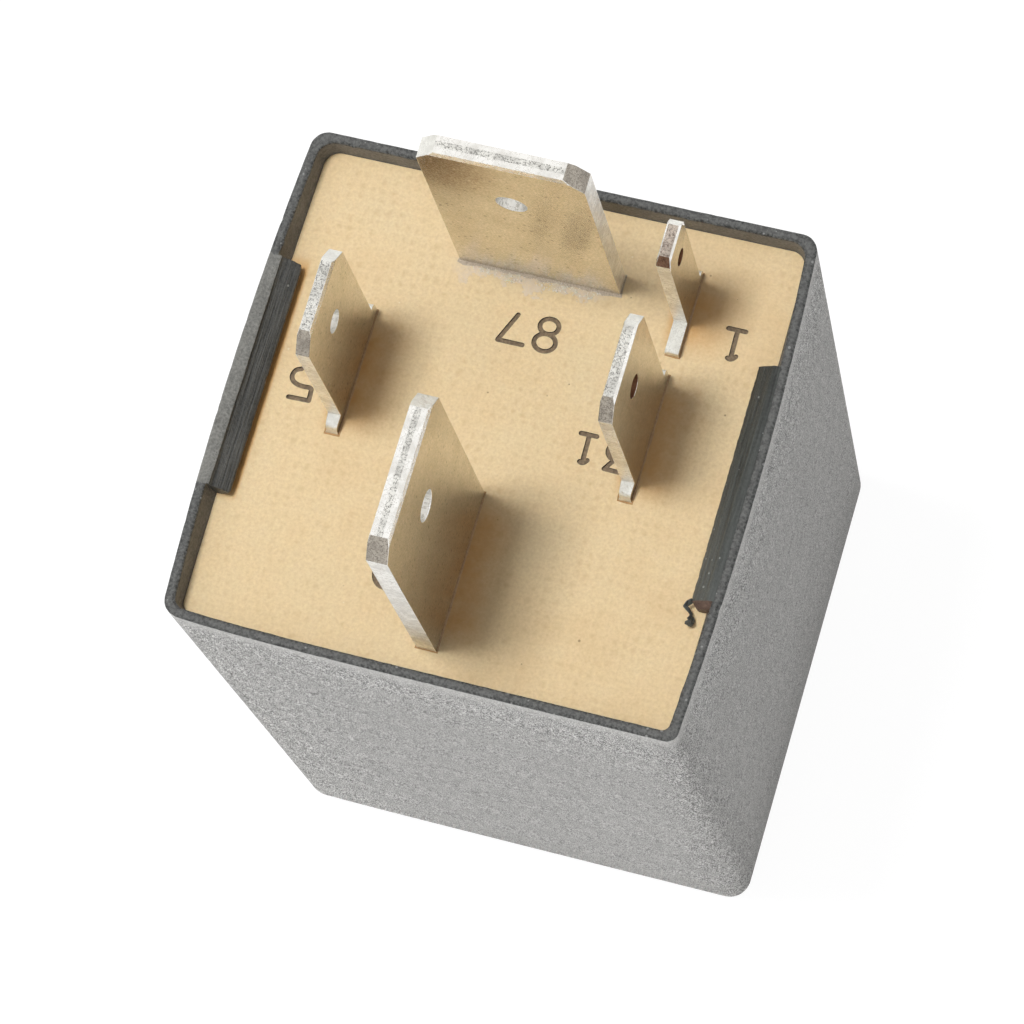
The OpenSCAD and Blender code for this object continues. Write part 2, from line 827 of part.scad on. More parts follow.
// Pins: pressed into the bobbin, with the winding's ends wound on them
module coil_pins() {
    start = axis_x + flange_x / 2 - pin_in;
    color([0.8, 0.8, 0.78])
        for (y = pin_ys)
            translate([0, y, pin_z])
                rotate([0, 90, 0]) {
                    translate([0, 0, start])
                        cylinder(r = pin_r, h = pcb_out + lead_out - start);
                    translate([0, 0, start + pin_in + 0.6])
                        cylinder(r = pin_r + 0.25, h = 1.6);
                }
}

// Armature: a plate that rocks on the yoke's edge, notched for the yoke's lugs
module armature() {
    color([0.68, 0.68, 0.66])
        at_armature()
            difference() {
                translate([axis_x - armature_w / 2, armature_back_y, leaf_z])
                    cube([armature_w, armature_l, armature_t]);
                for (side = [-1, 1]) {
                    translate([axis_x + side * (yoke_w / 2 - lug_w / 2) - lug_w / 2 - lug_gap,
                               armature_back_y - cut, leaf_z - cut])
                        cube([lug_w + 2 * lug_gap, notch_depth + cut, armature_t + 2 * cut]);
                    translate([axis_x + side * armature_w / 2, armature_back_y + armature_l,
                               leaf_z + armature_t / 2])
                        rotate([0, 0, 45])
                            cube([2.4, 2.4, armature_t + 2 * cut], center = true);
                }
                for (y = armature_rivet_ys)
                    translate([axis_x, y, leaf_z - cut])
                        cylinder(r = armature_rivet_r, h = armature_t + 2 * cut);
            }
}

// Rivets that hold the leaf on the armature
module armature_rivets() {
    color([0.75, 0.72, 0.6])
        at_armature()
            for (y = armature_rivet_ys)
                translate([axis_x, y, leaf_z]) {
                    translate([0, 0, -leaf_t - rivet_head_h])
                        cylinder(r1 = armature_rivet_r + 0.4, r2 = armature_rivet_r + 0.7,
                                 h = rivet_head_h);
                    translate([0, 0, -leaf_t - 0.01])
                        cylinder(r = armature_rivet_r, h = armature_t + leaf_t);
                }
}

// The leaf's middle line at rest, in the plane of Y and Z: down the yoke's back, round
// under the pivot in a loop, and up to the armature, which it follows to the contact
function turned(p) =
    [pivot[1] + (p[0] - pivot[1]) * cos(open_angle) + (p[1] - pivot[2]) * sin(open_angle),
     pivot[2] - (p[0] - pivot[1]) * sin(open_angle) + (p[1] - pivot[2]) * cos(open_angle)];
function leaf_path() =
    let (y = yoke_back_y - leaf_t / 2, z = leaf_z - leaf_dip, r = leaf_bend_r)
    concat([[y, leaf_top_z]],
           [for (k = [0:6]) [y + r - r * cos(15 * k), z - r * sin(15 * k)]],
           [turned([armature_back_y + leaf_free, leaf_z - leaf_t / 2]),
            turned([leaf_tip_y, leaf_z - leaf_t / 2])]);
function unit(v) = v / norm(v);
function left_of(v) = [-v[1], v[0]];
function path_normal(p, i) =
    let (before = i > 0 ? unit(p[i] - p[i - 1]) : unit(p[1] - p[0]),
         after = i < len(p) - 1 ? unit(p[i + 1] - p[i]) : unit(p[i] - p[i - 1]),
         middle = unit(before + after))
    left_of(middle) / (middle * before);
function thickened(p, t) =
    concat([for (i = [0:len(p) - 1]) p[i] + path_normal(p, i) * t / 2],
           [for (i = [len(p) - 1:-1:0]) p[i] - path_normal(p, i) * t / 2]);

module contact_leaf() {
    color([0.8, 0.55, 0.3])
        difference() {
            intersection() {
                translate([axis_x, 0, 0])
                    rotate([90, 0, 90])
                        linear_extrude(height = leaf_w, center = true)
                            polygon(thickened(leaf_path(), leaf_t));
                translate([axis_x, 0, 0])
                    linear_extrude(height = cover_h)
                        polygon([[-leaf_w / 2, yoke_back_y - yoke_t],
                                 [leaf_w / 2, yoke_back_y - yoke_t],
                                 [leaf_w / 2, leaf_wide_y], [leaf_tip_w / 2, leaf_neck_y],
                                 [leaf_tip_w / 2, leaf_tip_y - leaf_corner],
                                 [leaf_tip_w / 2 - leaf_corner, leaf_tip_y + cut],
                                 [leaf_corner - leaf_tip_w / 2, leaf_tip_y + cut],
                                 [-leaf_tip_w / 2, leaf_tip_y - leaf_corner],
                                 [-leaf_tip_w / 2, leaf_neck_y],
                                 [-leaf_w / 2, leaf_wide_y]]);
            }
            for (side = [-1, 1])
                translate([axis_x + side * leaf_rivet_x, yoke_back_y - cut, leaf_rivet_z])
                    rotate([-90, 0, 0])
                        cylinder(r = leaf_rivet_r + fit, h = 2 * cut);
            at_armature() {
                for (y = armature_rivet_ys)
                    translate([axis_x, y, leaf_z - leaf_t - cut])
                        cylinder(r = armature_rivet_r, h = leaf_t + 2 * cut);
                translate([axis_x, contact_y, leaf_z - leaf_t - cut])
                    cylinder(r = contact_shank_r, h = leaf_t + 2 * cut);
            }
        }
}

// Rivets that hold the leaf on the yoke's back
module leaf_rivets() {
    head_y = yoke_back_y - leaf_t - fit;
    color([0.75, 0.72, 0.6])
        for (side = [-1, 1])
            translate([axis_x + side * leaf_rivet_x, head_y, leaf_rivet_z])
                rotate([-90, 0, 0]) {
                    cylinder(r = leaf_rivet_r, h = yoke_inner_y - head_y);
                    translate([0, 0, -rivet_head_h])
                        cylinder(r1 = leaf_rivet_r + 0.3, r2 = leaf_rivet_r + 0.6,
                                 h = rivet_head_h);
                }
}

// Contacts: one rivet on the leaf, one in the foot of terminal 87
module moving_contact() {
    color([0.85, 0.85, 0.85])
        at_armature()
            translate([axis_x, contact_y, leaf_z]) {
                cylinder(r1 = contact_r, r2 = contact_r - 0.1, h = contact_h);
                translate([0, 0, -leaf_t - 0.01])
                    cylinder(r = contact_shank_r, h = leaf_t + 0.02);
                translate([0, 0, -leaf_t - contact_tail_h])
                    cylinder(r = contact_shank_r + 0.35, h = contact_tail_h);
            }
}

module fixed_contact() {
    color([0.85, 0.85, 0.85])
        translate([axis_x, contact_y, fixed_face_z]) {
            cylinder(r1 = contact_r - 0.1, r2 = contact_r, h = contact_h);
            translate([0, 0, contact_h - 0.01])
                cylinder(r = contact_shank_r, h = wide_t + 0.02);
            translate([0, 0, contact_h + wide_t])
                cylinder(r = contact_shank_r + 0.2, h = contact_tail_h);
        }
}

// Backstop: a clip on the bobbin's lower flange that passes under the armature
module backstop() {
    arm_x = flange_x / 2;
    arm_top = bobbin_bottom + pin_flange_t;
    color([0.7, 0.7, 0.72])
        for (side = [0, 1])
            translate([axis_x, 0, 0])
                mirror([side, 0, 0]) {
                    translate([-0.01, stop_y0, stop_top_z - stop_t])
                        cube([arm_x + stop_t + 0.01, stop_y1 - stop_y0, stop_t]);
                    translate([arm_x, stop_y0, stop_top_z - stop_t])
                        cube([stop_t, stop_y1 - stop_y0, arm_top + stop_t - stop_top_z + stop_t]);
                    translate([arm_x - stop_lug, stop_y0, arm_top])
                        cube([stop_lug + cut, stop_y1 - stop_y0, stop_t]);
                }
}

// Circuit board, drilled for the leads and slotted for the two terminal feet
module circuit_board() {
    color([0.35, 0.5, 0.25])
        difference() {
            translate([pcb_in, -pcb_half_y, pcb_bottom])
                cube([pcb_t, 2 * pcb_half_y, board_bottom - pcb_bottom]);
            for (p = thin_leads())
                translate([pcb_in - cut, p[0], p[1]])
                    rotate([0, 90, 0])
                        cylinder(r = lead_r + fit, h = pcb_t + 2 * cut, $fn = 24);
            for (p = thick_leads())
                translate([pcb_in - cut, p[0], p[1]])
                    rotate([0, 90, 0])
                        cylinder(r = wire_r + fit, h = pcb_t + 2 * cut, $fn = 24);
            foot_slot(blade_15_y, pcb_foot_w);
            foot_slot(blade_1_y, small_tail_w);
        }
}

module foot_slot(y, w) {
    translate([pcb_in - cut, y - w / 2 - fit, foot_z - fit])
        cube([pcb_t + 2 * cut, w + 2 * fit, mid_t + 2 * fit]);
}

// Solder on the back of the circuit board, one cone for each lead
module solder_cone(p, r) {
    translate([pcb_out, p[0], p[1]])
        rotate([0, 90, 0])
            difference() {
                cylinder(r1 = r + solder_foot, r2 = r + solder_tip, h = lead_out, $fn = 24);
                translate([0, 0, -cut])
                    cylinder(r = r, h = lead_out + 2 * cut, $fn = 24);
            }
}

module foot_solder(y, w) {
    rim = foot_solder_rim;
    difference() {
        translate([pcb_out, y - w / 2 - rim, foot_z - rim])
            cube([lead_out * 0.8, w + 2 * rim, mid_t + 2 * rim]);
        translate([pcb_out - cut, y - w / 2, foot_z])
            cube([lead_out + 2 * cut, w, mid_t]);
    }
}

module board_solder() {
    color([0.7, 0.7, 0.7]) {
        for (p = thin_leads())
            solder_cone(p, lead_r);
        for (p = thick_leads())
            solder_cone(p, wire_r);
        foot_solder(blade_15_y, pcb_foot_w);
        foot_solder(blade_1_y, small_tail_w);
    }
}

// Parts on the circuit board
module timer_chip() {
    half = chip_w / 2;
    slant = 0.3;
    mark_r = 0.8;
    mark_depth = 0.5;
    top = chip_lift + chip_h;
    middle = chip_lift + chip_h / 2;
    color([0.12, 0.12, 0.13])
        on_pcb(chip_at)
            difference() {
                rotate([90, 0, 90])
                    linear_extrude(height = chip_l, center = true)
                        polygon([[slant - half, chip_lift], [half - slant, chip_lift],
                                 [half, middle], [half - slant, top], [slant - half, top],
                                 [-half, middle]]);
                translate([chip_l / 2, 0, top - mark_depth])
                    cylinder(r = mark_r, h = mark_depth + cut);
            }
}

module chip_legs() {
    reach = chip_row / 2;
    middle = chip_lift + chip_h / 2;
    color([0.8, 0.8, 0.8])
        on_pcb(chip_at)
            for (side = [0, 180], k = [-1.5:1:1.5])
                rotate([0, 0, side])
                    translate([k * chip_pin_pitch, 0, 0]) {
                        translate([-chip_leg_w / 2, chip_w / 2, middle - chip_leg_t / 2])
                            cube([chip_leg_w, reach - chip_w / 2 + chip_leg_t / 2, chip_leg_t]);
                        translate([-chip_leg_w / 2, reach - chip_leg_t / 2, lead_r * 2])
                            cube([chip_leg_w, chip_leg_t, middle - lead_r * 2]);
                        translate([0, reach, -pcb_t - lead_out])
                            cylinder(r = lead_r, h = pcb_t + lead_out + lead_r * 2.3);
                    }
}

module capacitor_can() {
    color([0.15, 0.2, 0.4])
        on_pcb(can_at)
            translate([0, 0, can_lift])
                rotate_extrude()
                    polygon([[0, seal_h], [seal_r, seal_h], [seal_r, 0], [can_r - 0.3, 0],
                             [can_r, 0.3], [can_r, 1.6], [can_r - 0.3, 1.9], [can_r - 0.3, 2.2],
                             [can_r, 2.5], [can_r, can_l - 0.4], [can_r - 0.4, can_l],
                             [0, can_l]]);
}

module capacitor_seal() {
    color([0.1, 0.1, 0.1])
        on_pcb(can_at)
            translate([0, 0, can_lift])
                difference() {
                    cylinder(r = seal_r, h = seal_h);
                    for (side = [-1, 1])
                        translate([0, side * can_pitch / 2, -cut])
                            cylinder(r = lead_r, h = seal_h + 2 * cut, $fn = 24);
                }
}

module capacitor_leads() {
    color([0.8, 0.8, 0.8])
        on_pcb(can_at)
            rotate([0, 0, 90])
                radial_leads(can_pitch, can_lift + seal_h);
}

module film_capacitor() {
    color([0.6, 0.12, 0.1])
        on_pcb(film_at)
            rotate([0, 0, 90]) {
                translate([0, 0, lead_r])
                    linear_extrude(height = film_h)
                        rounded_plate(film_l, film_t, 0.4);
                radial_leads(radial_pitch, 0.5);
            }
}

module ceramic_capacitor(i) {
    half = disc_t / 2;
    round_over = 0.6;
    color([0.75, 0.45, 0.2])
        on_pcb(ceramic_at[i]) {
            translate([0, 0, disc_r + half])
                rotate([90, 0, 0])
                    rotate_extrude()
                        polygon([[0, -half], [disc_r - round_over, -half], [disc_r, -half / 2],
                                 [disc_r, half / 2], [disc_r - round_over, half], [0, half]]);
            radial_leads(ceramic_pitch, disc_r);
        }
}

// An axial body with thicker ends, as a resistor has
module axial_body(length, r) {
    end = length / 2;
    edge = 0.3;
    cap = length / 5;
    neck = cap + edge;
    waist = r * 0.87;
    rotate([0, 90, 0])
        rotate_extrude()
            polygon([[0, -end], [r - edge, -end], [r, edge - end], [r, cap - end],
                     [waist, neck - end], [waist, end - neck], [r, end - cap],
                     [r, end - edge], [r - edge, end], [0, end]]);
}

module resistor(i) {
    length = i == 4 ? short_resistor_l : resistor_l;
    r = i == 4 ? short_resistor_r : resistor_r;
    color([0.8, 0.7, 0.5])
        on_pcb(resistor_at[i]) {
            translate([0, 0, r + fit])
                axial_body(length, r);
            axial_leads(resistor_pitch(i), r + fit);
        }
}

module diode(r, length, pitch) {
    translate([0, 0, r + fit])
        rotate([0, 90, 0])
            cylinder(r = r, h = length, center = true);
    axial_leads(pitch, r + fit);
}

module diode_1() {
    color([0.12, 0.12, 0.12])
        on_pcb(diode_1_at)
            diode(diode_r, diode_l, axial_pitch);
}

module diode_2() {
    color([0.12, 0.12, 0.12])
        on_pcb(diode_2_at)
            rotate([0, 0, 90])
                diode(diode_r, diode_l, axial_pitch);
}

module zener_diode() {
    color([0.8, 0.4, 0.2])
        on_pcb(zener_at)
            diode(zener_r, zener_l, short_pitch);
}

module transistor() {
    wide = 2 * transistor_r + 2 * cut;
    color([0.12, 0.12, 0.12])
        on_pcb(transistor_at) {
            translate([0, 0, transistor_lift])
                difference() {
                    cylinder(r = transistor_r, h = transistor_h);
                    translate([transistor_flat, -wide / 2, -cut])
                        cube([wide, wide, transistor_h + 2 * cut]);
                }
            for (k = [-1:1])
                translate([0, k * transistor_pitch, -pcb_t - lead_out])
                    cylinder(r = lead_r, h = pcb_t + lead_out + transistor_lift + fit);
        }
}

// Link wire: from the tail of terminal 15 past the coil to the circuit board
module link_wire() {
    start_x = blade_15_x + mid_t / 2 + wire_r;
    start_y = blade_15_y - pcb_foot_w / 2 + wire_start;
    bend = wire_bend_r;
    color([0.8, 0.8, 0.8])
        translate([0, 0, wire_z]) {
            translate([start_x, start_y, 0])
                rotate([-90, 0, 0])
                    cylinder(r = wire_r, h = wire_y - bend - start_y);
            translate([start_x + bend, wire_y - bend, 0])
                rotate([0, 0, 90])
                    rotate_extrude(angle = 90)
                        translate([bend, 0])
                            circle(r = wire_r);
            translate([start_x + bend, wire_y, 0])
                rotate([0, 90, 0])
                    cylinder(r = wire_r, h = pcb_out + lead_out - start_x - bend);
        }
}

cover();
base_board();
terminal_87();
terminal_30();
terminal_15();
terminal_31();
terminal_1();
base_solder();
yoke();
core();
bobbin();
winding();
coil_tape();
coil_pins();
armature();
armature_rivets();
contact_leaf();
leaf_rivets();
moving_contact();
fixed_contact();
backstop();
circuit_board();
board_solder();
timer_chip();
chip_legs();
capacitor_can();
capacitor_seal();
capacitor_leads();
film_capacitor();
ceramic_capacitor(0);  // ceramic_capacitor_1
ceramic_capacitor(1);  // ceramic_capacitor_2
resistor(0);  // resistor_1
resistor(1);  // resistor_2
resistor(2);  // resistor_3
resistor(3);  // resistor_4
resistor(4);  // resistor_5
resistor(5);  // resistor_6
diode_1();
diode_2();
zener_diode();
transistor();
link_wire();
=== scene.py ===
"""Looks of an electronic vehicle relay: a grey moulded cover, a cream laminate board snapped
into its mouth, five tinned blades on the board, and the magnet system and circuit inside.

Sizes in this script are millimetres until a mesh is made, which is in metres.
"""

import math

from collections import namedtuple
from contextlib import contextmanager

import bmesh
import bpy
import numpy as np
from mathutils import Matrix, Vector, noise


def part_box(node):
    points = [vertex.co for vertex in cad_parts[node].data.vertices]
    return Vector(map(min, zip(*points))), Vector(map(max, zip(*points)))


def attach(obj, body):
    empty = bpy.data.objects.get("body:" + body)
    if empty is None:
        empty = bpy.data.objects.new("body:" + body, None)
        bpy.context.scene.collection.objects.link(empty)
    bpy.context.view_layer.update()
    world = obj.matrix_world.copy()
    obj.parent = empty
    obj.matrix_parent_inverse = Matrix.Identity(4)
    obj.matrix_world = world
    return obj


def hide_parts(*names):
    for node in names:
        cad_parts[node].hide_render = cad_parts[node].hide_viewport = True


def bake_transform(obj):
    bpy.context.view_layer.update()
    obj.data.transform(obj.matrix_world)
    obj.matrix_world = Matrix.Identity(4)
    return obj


MM = 0.001
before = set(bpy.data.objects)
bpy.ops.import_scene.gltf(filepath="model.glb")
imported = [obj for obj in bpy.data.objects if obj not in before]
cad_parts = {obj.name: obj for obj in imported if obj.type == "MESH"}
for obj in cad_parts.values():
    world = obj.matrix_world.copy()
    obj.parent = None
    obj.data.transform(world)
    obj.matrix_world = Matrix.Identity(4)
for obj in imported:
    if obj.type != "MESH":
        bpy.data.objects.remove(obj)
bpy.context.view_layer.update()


def node_box(node):
    """Lowest and highest corner of a solid, in millimetres."""
    low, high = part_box(node)
    return Vector(low) / MM, Vector(high) / MM


COVER_HIGH = node_box("cover")[1]
BOARD_LOW, BOARD_HIGH = node_box("base_board")

# Cover: height, bow of the side walls, half sizes, draft, thickness of wall, end and lip, and
# the heights of the rows of points up the outside
RIM_Z = COVER_HIGH.z
BOW = 0.5
HALF_X = COVER_HIGH.x - BOW
HALF_Y = COVER_HIGH.y
DRAFT = 0.3
WALL_T = 1.2
END_T = 1.4
LIP_T = 0.57
WALL_LEVELS = (3, 8, 14, 20, 26, 31, 35, 37.5, 39, 39.6)

# Corner radii at back right, back left, front left and front right, then the radius of the
# closed end's edge and of the inner corners, and the height of the ledge under the board
RIM_R = (0.95, 0.95, 1.0, 0.6)
LIP_R = (0.9, 0.9, 0.55, 0.4)
END_R = (1.6, 1.6, 1.6, 1.3)
END_EDGE_R = 1.0
INNER_R = 0.6
LEDGE_Z = BOARD_LOW.z

# Guides of the circuit board: thickness, gap to its face, grip on its edge, how far their ends
# are sunk in the walls, and how far they reach above the bobbin's foot
GUIDE_T = 0.8
GUIDE_GAP = 0.1
GUIDE_GRIP = 0.6
GUIDE_SUNK = 0.3
GUIDE_RISE = 9

# How far the real walls stand off the solid, and the outline of the board's edge
FRONT_OUT = 0.24
FRONT_BOW = 0.3
BACK_IN = 0.1
EDGE_HALF_X = 14.25
EDGE_BOW = 0.15
EDGE_FRONT = 0.65

# Hooks: front and back end, step along them, width of the left one's band, place of the tips
HOOK_Y0 = -7.2
HOOK_Y1 = 6.8
HOOK_STEP = 0.14
HOOK_BAND_T = 0.87
HOOK_TIP = 13.45

# Board, the strokes of its numbers, and how far from the middle the numbers may reach
BOARD_TOP = BOARD_HIGH.z
BOARD_R = 1.2
STROKE_W = 0.28
STROKE_DEPTH = 0.12
NUMBERS_REACH = 13.4

# Distance between turns of the winding
WIRE_PITCH = 0.16

# Finishing of meshes: how near points join, how round edges get, and the area in square
# millimetres from which a flat isn't shaded smooth
MERGE = 0.0005 * MM
EDGE_ROUND = 0.06
SMALL_FLAT = 0.6

# Blades: the axis across the thickness, how far the hole is below the tip, the hole's radius,
# whether the hole's wall is lit, else painted dark as brass in shade, how wide the flat at the
# tip is, how tall the long bevel below it, and the size of the corner chamfers
Blade = namedtuple("Blade", "axis drop radius bright flat rise chamfer")
BLADES = {"terminal_87": Blade("y", 5.2, 1.05, True, 1.0, 0.38, 1.1),
          "terminal_30": Blade("x", 5.2, 1.05, True, 1.0, 0.38, 1.1),
          "terminal_15": Blade("x", 3.7, 0.8, True, 0.58, 0.3, 1.1),
          "terminal_31": Blade("x", 3.7, 0.8, False, 0.58, 0.3, 1.1),
          "terminal_1": Blade("x", 2.2, 0.6, False, 0.58, 0.16, 0.45)}

# Half the width of the cracked strip along a tip, how much of a hole stays open when its edge
# is peened, and how far below its tip a blade is above its shoulders for sure
CRACKED = 0.2
HOLE_SHARE = 0.85
ABOVE_SHOULDERS = 4

# The lug of a middle blade: how much narrower and lower its end is, and its length's share
LUG_NARROWER = 0.16
LUG_LOWER = 0.14
LUG_SHARE = 0.86


def blade_base(node):
    """Lowest and highest corner of a blade's outline where it stands on the board."""
    points = [v.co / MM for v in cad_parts[node].data.vertices]
    ring_points = [v for v in points if abs(v.z - BOARD_TOP) < 0.05]
    if len(ring_points) < 4:
        ring_points = [v for v in points if v.z > BOARD_TOP]
    xs, ys = [v.x for v in ring_points], [v.y for v in ring_points]
    return Vector((min(xs), min(ys), BOARD_TOP)), Vector((max(xs), max(ys), BOARD_TOP))


BLADE_BASES = {node: blade_base(node) for node in BLADES}


def blade_axes(node):
    """Numbers of the axes across a blade's thickness and along its width."""
    across = "xyz".index(BLADES[node].axis)
    return across, 1 - across


def blade_tip(node):
    """Height of a blade's tip."""
    return node_box(node)[1].z


def upper_points(node, vertices):
    """The points of a blade above its shoulders."""
    level = blade_tip(node) - ABOVE_SHOULDERS
    return [v.co / MM for v in vertices if v.co.z / MM > level]


def blade_middle(node):
    """The middle of a blade's width above its shoulders, where its hole is."""
    side = blade_axes(node)[1]
    places = [v[side] for v in upper_points(node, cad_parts[node].data.vertices)]
    return (min(places) + max(places)) / 2


# Shader trees


def paint(red, green, blue):
    """A colour as it is seen, 0 to 255, as the numbers that a shader takes."""

    def channel(value):
        share = value / 255
        return share / 12.92 if share <= 0.04045 else ((share + 0.055) / 1.055) ** 2.4

    return (channel(red), channel(green), channel(blue), 1.0)


class Tree:
    """Adds nodes to one shader or geometry tree, with one short call for each."""

    def __init__(self, tree):
        self.tree = tree

    def add(self, kind, inputs=(), **settings):
        """A node, its inputs given in their order, or by name or number."""
        node = self.tree.nodes.new(kind)
        for key, value in settings.items():
            setattr(node, key, value)
        for key, value in inputs.items() if isinstance(inputs, dict) else enumerate(inputs):
            self.put(node.inputs[key], value)
        return node

    def put(self, socket, value):
        """Links a socket or sets its number. A colour is given as it is seen."""
        if isinstance(value, bpy.types.NodeSocket):
            self.tree.links.new(value, socket)
        else:
            socket.default_value = paint(*value) if socket.type == "RGBA" else value

    def math(self, operation, first, second=0.0, third=0.0):
        return self.add("ShaderNodeMath", (first, second, third), operation=operation).outputs[0]

    def times(self, first, second):
        return self.math("MULTIPLY", first, second)

    def weighted(self, first, share, second):
        """A share of the first value and the rest of the second."""
        return self.math("MULTIPLY_ADD", first, share, self.times(second, 1 - share))

    def vector(self, operation, first, second):
        return self.add("ShaderNodeVectorMath", (first, second), operation=operation).outputs

    def spread(self, value, low, high, to_low=0.0, to_high=1.0, kind="LINEAR"):
        """Maps the span from low to high onto another one, and holds the ends."""
        return self.add("ShaderNodeMapRange", (value, low, high, to_low, to_high), clamp=True,
                        interpolation_type=kind).outputs[0]

    def rise(self, value, low, high):
        return self.spread(value, low, high, kind="SMOOTHSTEP")

    def fall(self, value, low, high, full=1.0):
        return self.spread(value, low, high, full, 0.0, "SMOOTHSTEP")

    def mix(self, share, first, second):
        return self.add("ShaderNodeMix", {0: share, 6: first, 7: second},
                        data_type="RGBA").outputs[2]

    def tint(self, base, mask, share, color):
        """Lays a colour over a base where a mask is, at a share of its strength."""
        return self.mix(self.times(mask, share), base, color)

    def ramp(self, value, *stops):
        """Colours along a value, each with its place."""
        node = self.add("ShaderNodeValToRGB", (value,))
        elements = node.color_ramp.elements
        for element, (position, color) in zip(elements, (stops[0], stops[-1])):
            element.position, element.color = position, paint(*color)
        for position, color in stops[1:-1]:
            elements.new(position).color = paint(*color)
        return node.outputs["Color"]

    def xyz(self, vector):
        return self.add("ShaderNodeSeparateXYZ", (vector,)).outputs

    def per_metre(self, size):
        """The scale of a pattern whose features are this many millimetres across."""
        return self.math("DIVIDE", 1 / MM, size)


def shader_group(name, result, **sizes):
    """An empty shader group: a vector and named sizes in, one number out."""
    tree = bpy.data.node_groups.new(name, "ShaderNodeTree")
    tree.interface.new_socket("Vector", in_out="INPUT", socket_type="NodeSocketVector")
    for label, value in sizes.items():
        kind = "NodeSocketVector" if isinstance(value, tuple) else "NodeSocketFloat"
        tree.interface.new_socket(label, in_out="INPUT", socket_type=kind).default_value = value
    tree.interface.new_socket(result, in_out="OUTPUT", socket_type="NodeSocketFloat")
    maker = Tree(tree)
    return maker, maker.add("NodeGroupInput").outputs, maker.add("NodeGroupOutput").inputs[0]


def make_grain():
    """Random grain. Size is its width in millimetres."""
    tree, given, out = shader_group("grain", "Value", Size=0.2, Detail=2.0)
    pattern = tree.add("ShaderNodeTexNoise", {
        "Vector": given["Vector"], "Scale": tree.per_metre(given["Size"]),
        "Detail": given["Detail"], "Roughness": 0.6})
    tree.put(out, tree.spread(pattern.outputs["Fac"], 0.28, 0.72))
    return tree.tree


def make_specks():
    """Scattered specks. Spacing is in millimetres, and Share is how many places hold one."""
    tree, given, out = shader_group("specks", "Mask", Spacing=1.0, Share=0.5, Radius=0.1)
    cells = tree.add("ShaderNodeTexVoronoi", {
        "Vector": given["Vector"], "Scale": tree.per_metre(given["Spacing"])}).outputs
    parts = tree.add("ShaderNodeSeparateColor", {"Color": cells["Color"]}).outputs
    size = tree.times(given["Radius"], tree.spread(parts["Green"], 0.0, 1.0, 0.4, 1.3))
    near = tree.math("DIVIDE", cells["Distance"], tree.math("DIVIDE", size, given["Spacing"]))
    chosen = tree.math("LESS_THAN", parts["Red"], given["Share"])
    tree.put(out, tree.times(tree.spread(near, 0.7, 1.15, 1.0, 0.0), chosen))
    return tree.tree


def make_streaks():
    """Streaks along one direction. The three sizes are the width of a streak on each axis."""
    tree, given, out = shader_group("streaks", "Value", Sizes=(0.2, 4.0, 0.2))
    scaled = tree.vector("DIVIDE", given["Vector"], given["Sizes"])[0]
    pattern = tree.add("ShaderNodeTexNoise", {
        "Vector": scaled, "Scale": 1 / MM, "Detail": 3.0, "Roughness": 0.65})
    tree.put(out, tree.spread(pattern.outputs["Fac"], 0.3, 0.7))
    return tree.tree


def make_weave():
    """The faint print-through of a glass cloth: rows of soft dots, Pitch millimetres apart."""
    tree, given, out = shader_group("weave", "Value", Pitch=0.65)
    scale = tree.math("DIVIDE", 2 * math.pi / MM, given["Pitch"])
    at = tree.xyz(given["Vector"])
    drift = tree.add("ShaderNodeTexNoise", {"Vector": given["Vector"], "Scale": 0.5 / MM})
    wander = tree.spread(drift.outputs["Fac"], 0.3, 0.7, -2.6, 2.6)
    waves = []
    for axis in "XY":
        phase = tree.math("MULTIPLY_ADD", at[axis], scale, wander)
        waves.append(tree.math("MULTIPLY_ADD", tree.math("SINE", phase), 0.5, 0.5))
    tree.put(out, tree.times(*waves))
    return tree.tree


def make_foot_shadow():
    """Painted shadow at the foot of a blade, beside its face that looks away from the light, fading
    out over Reach millimetres.
    """
    tree, given, out = shader_group("painted_foot_shadow", "Mask", Low=(0, 0, 0), High=(1, 1, 1), Reach=2.0)
    at, low, high = [tree.xyz(given[label]) for label in ("Vector", "Low", "High")]
    past = tree.math("SUBTRACT", at["X"], tree.times(high["X"], MM))
    past = tree.math("DIVIDE", past, tree.times(given["Reach"], MM))
    left = tree.math("SUBTRACT", at["X"], tree.times(low["X"], MM))
    side = tree.times(tree.fall(past, 0.0, 1.0), tree.rise(left, -0.7 * MM, 0.1 * MM))
    ends = []
    for edge, sign in ((low["Y"], 1.0), (high["Y"], -1.0)):
        inside = tree.times(tree.math("SUBTRACT", at["Y"], tree.times(edge, MM)), sign)
        ends.append(tree.rise(inside, -0.3 * MM, 1.9 * MM))
    tree.put(out, tree.times(side, tree.times(*ends)))
    return tree.tree


GRAIN = make_grain()
SPECKS = make_specks()
STREAKS = make_streaks()
WEAVE = make_weave()
FOOT_SHADOW = make_foot_shadow()


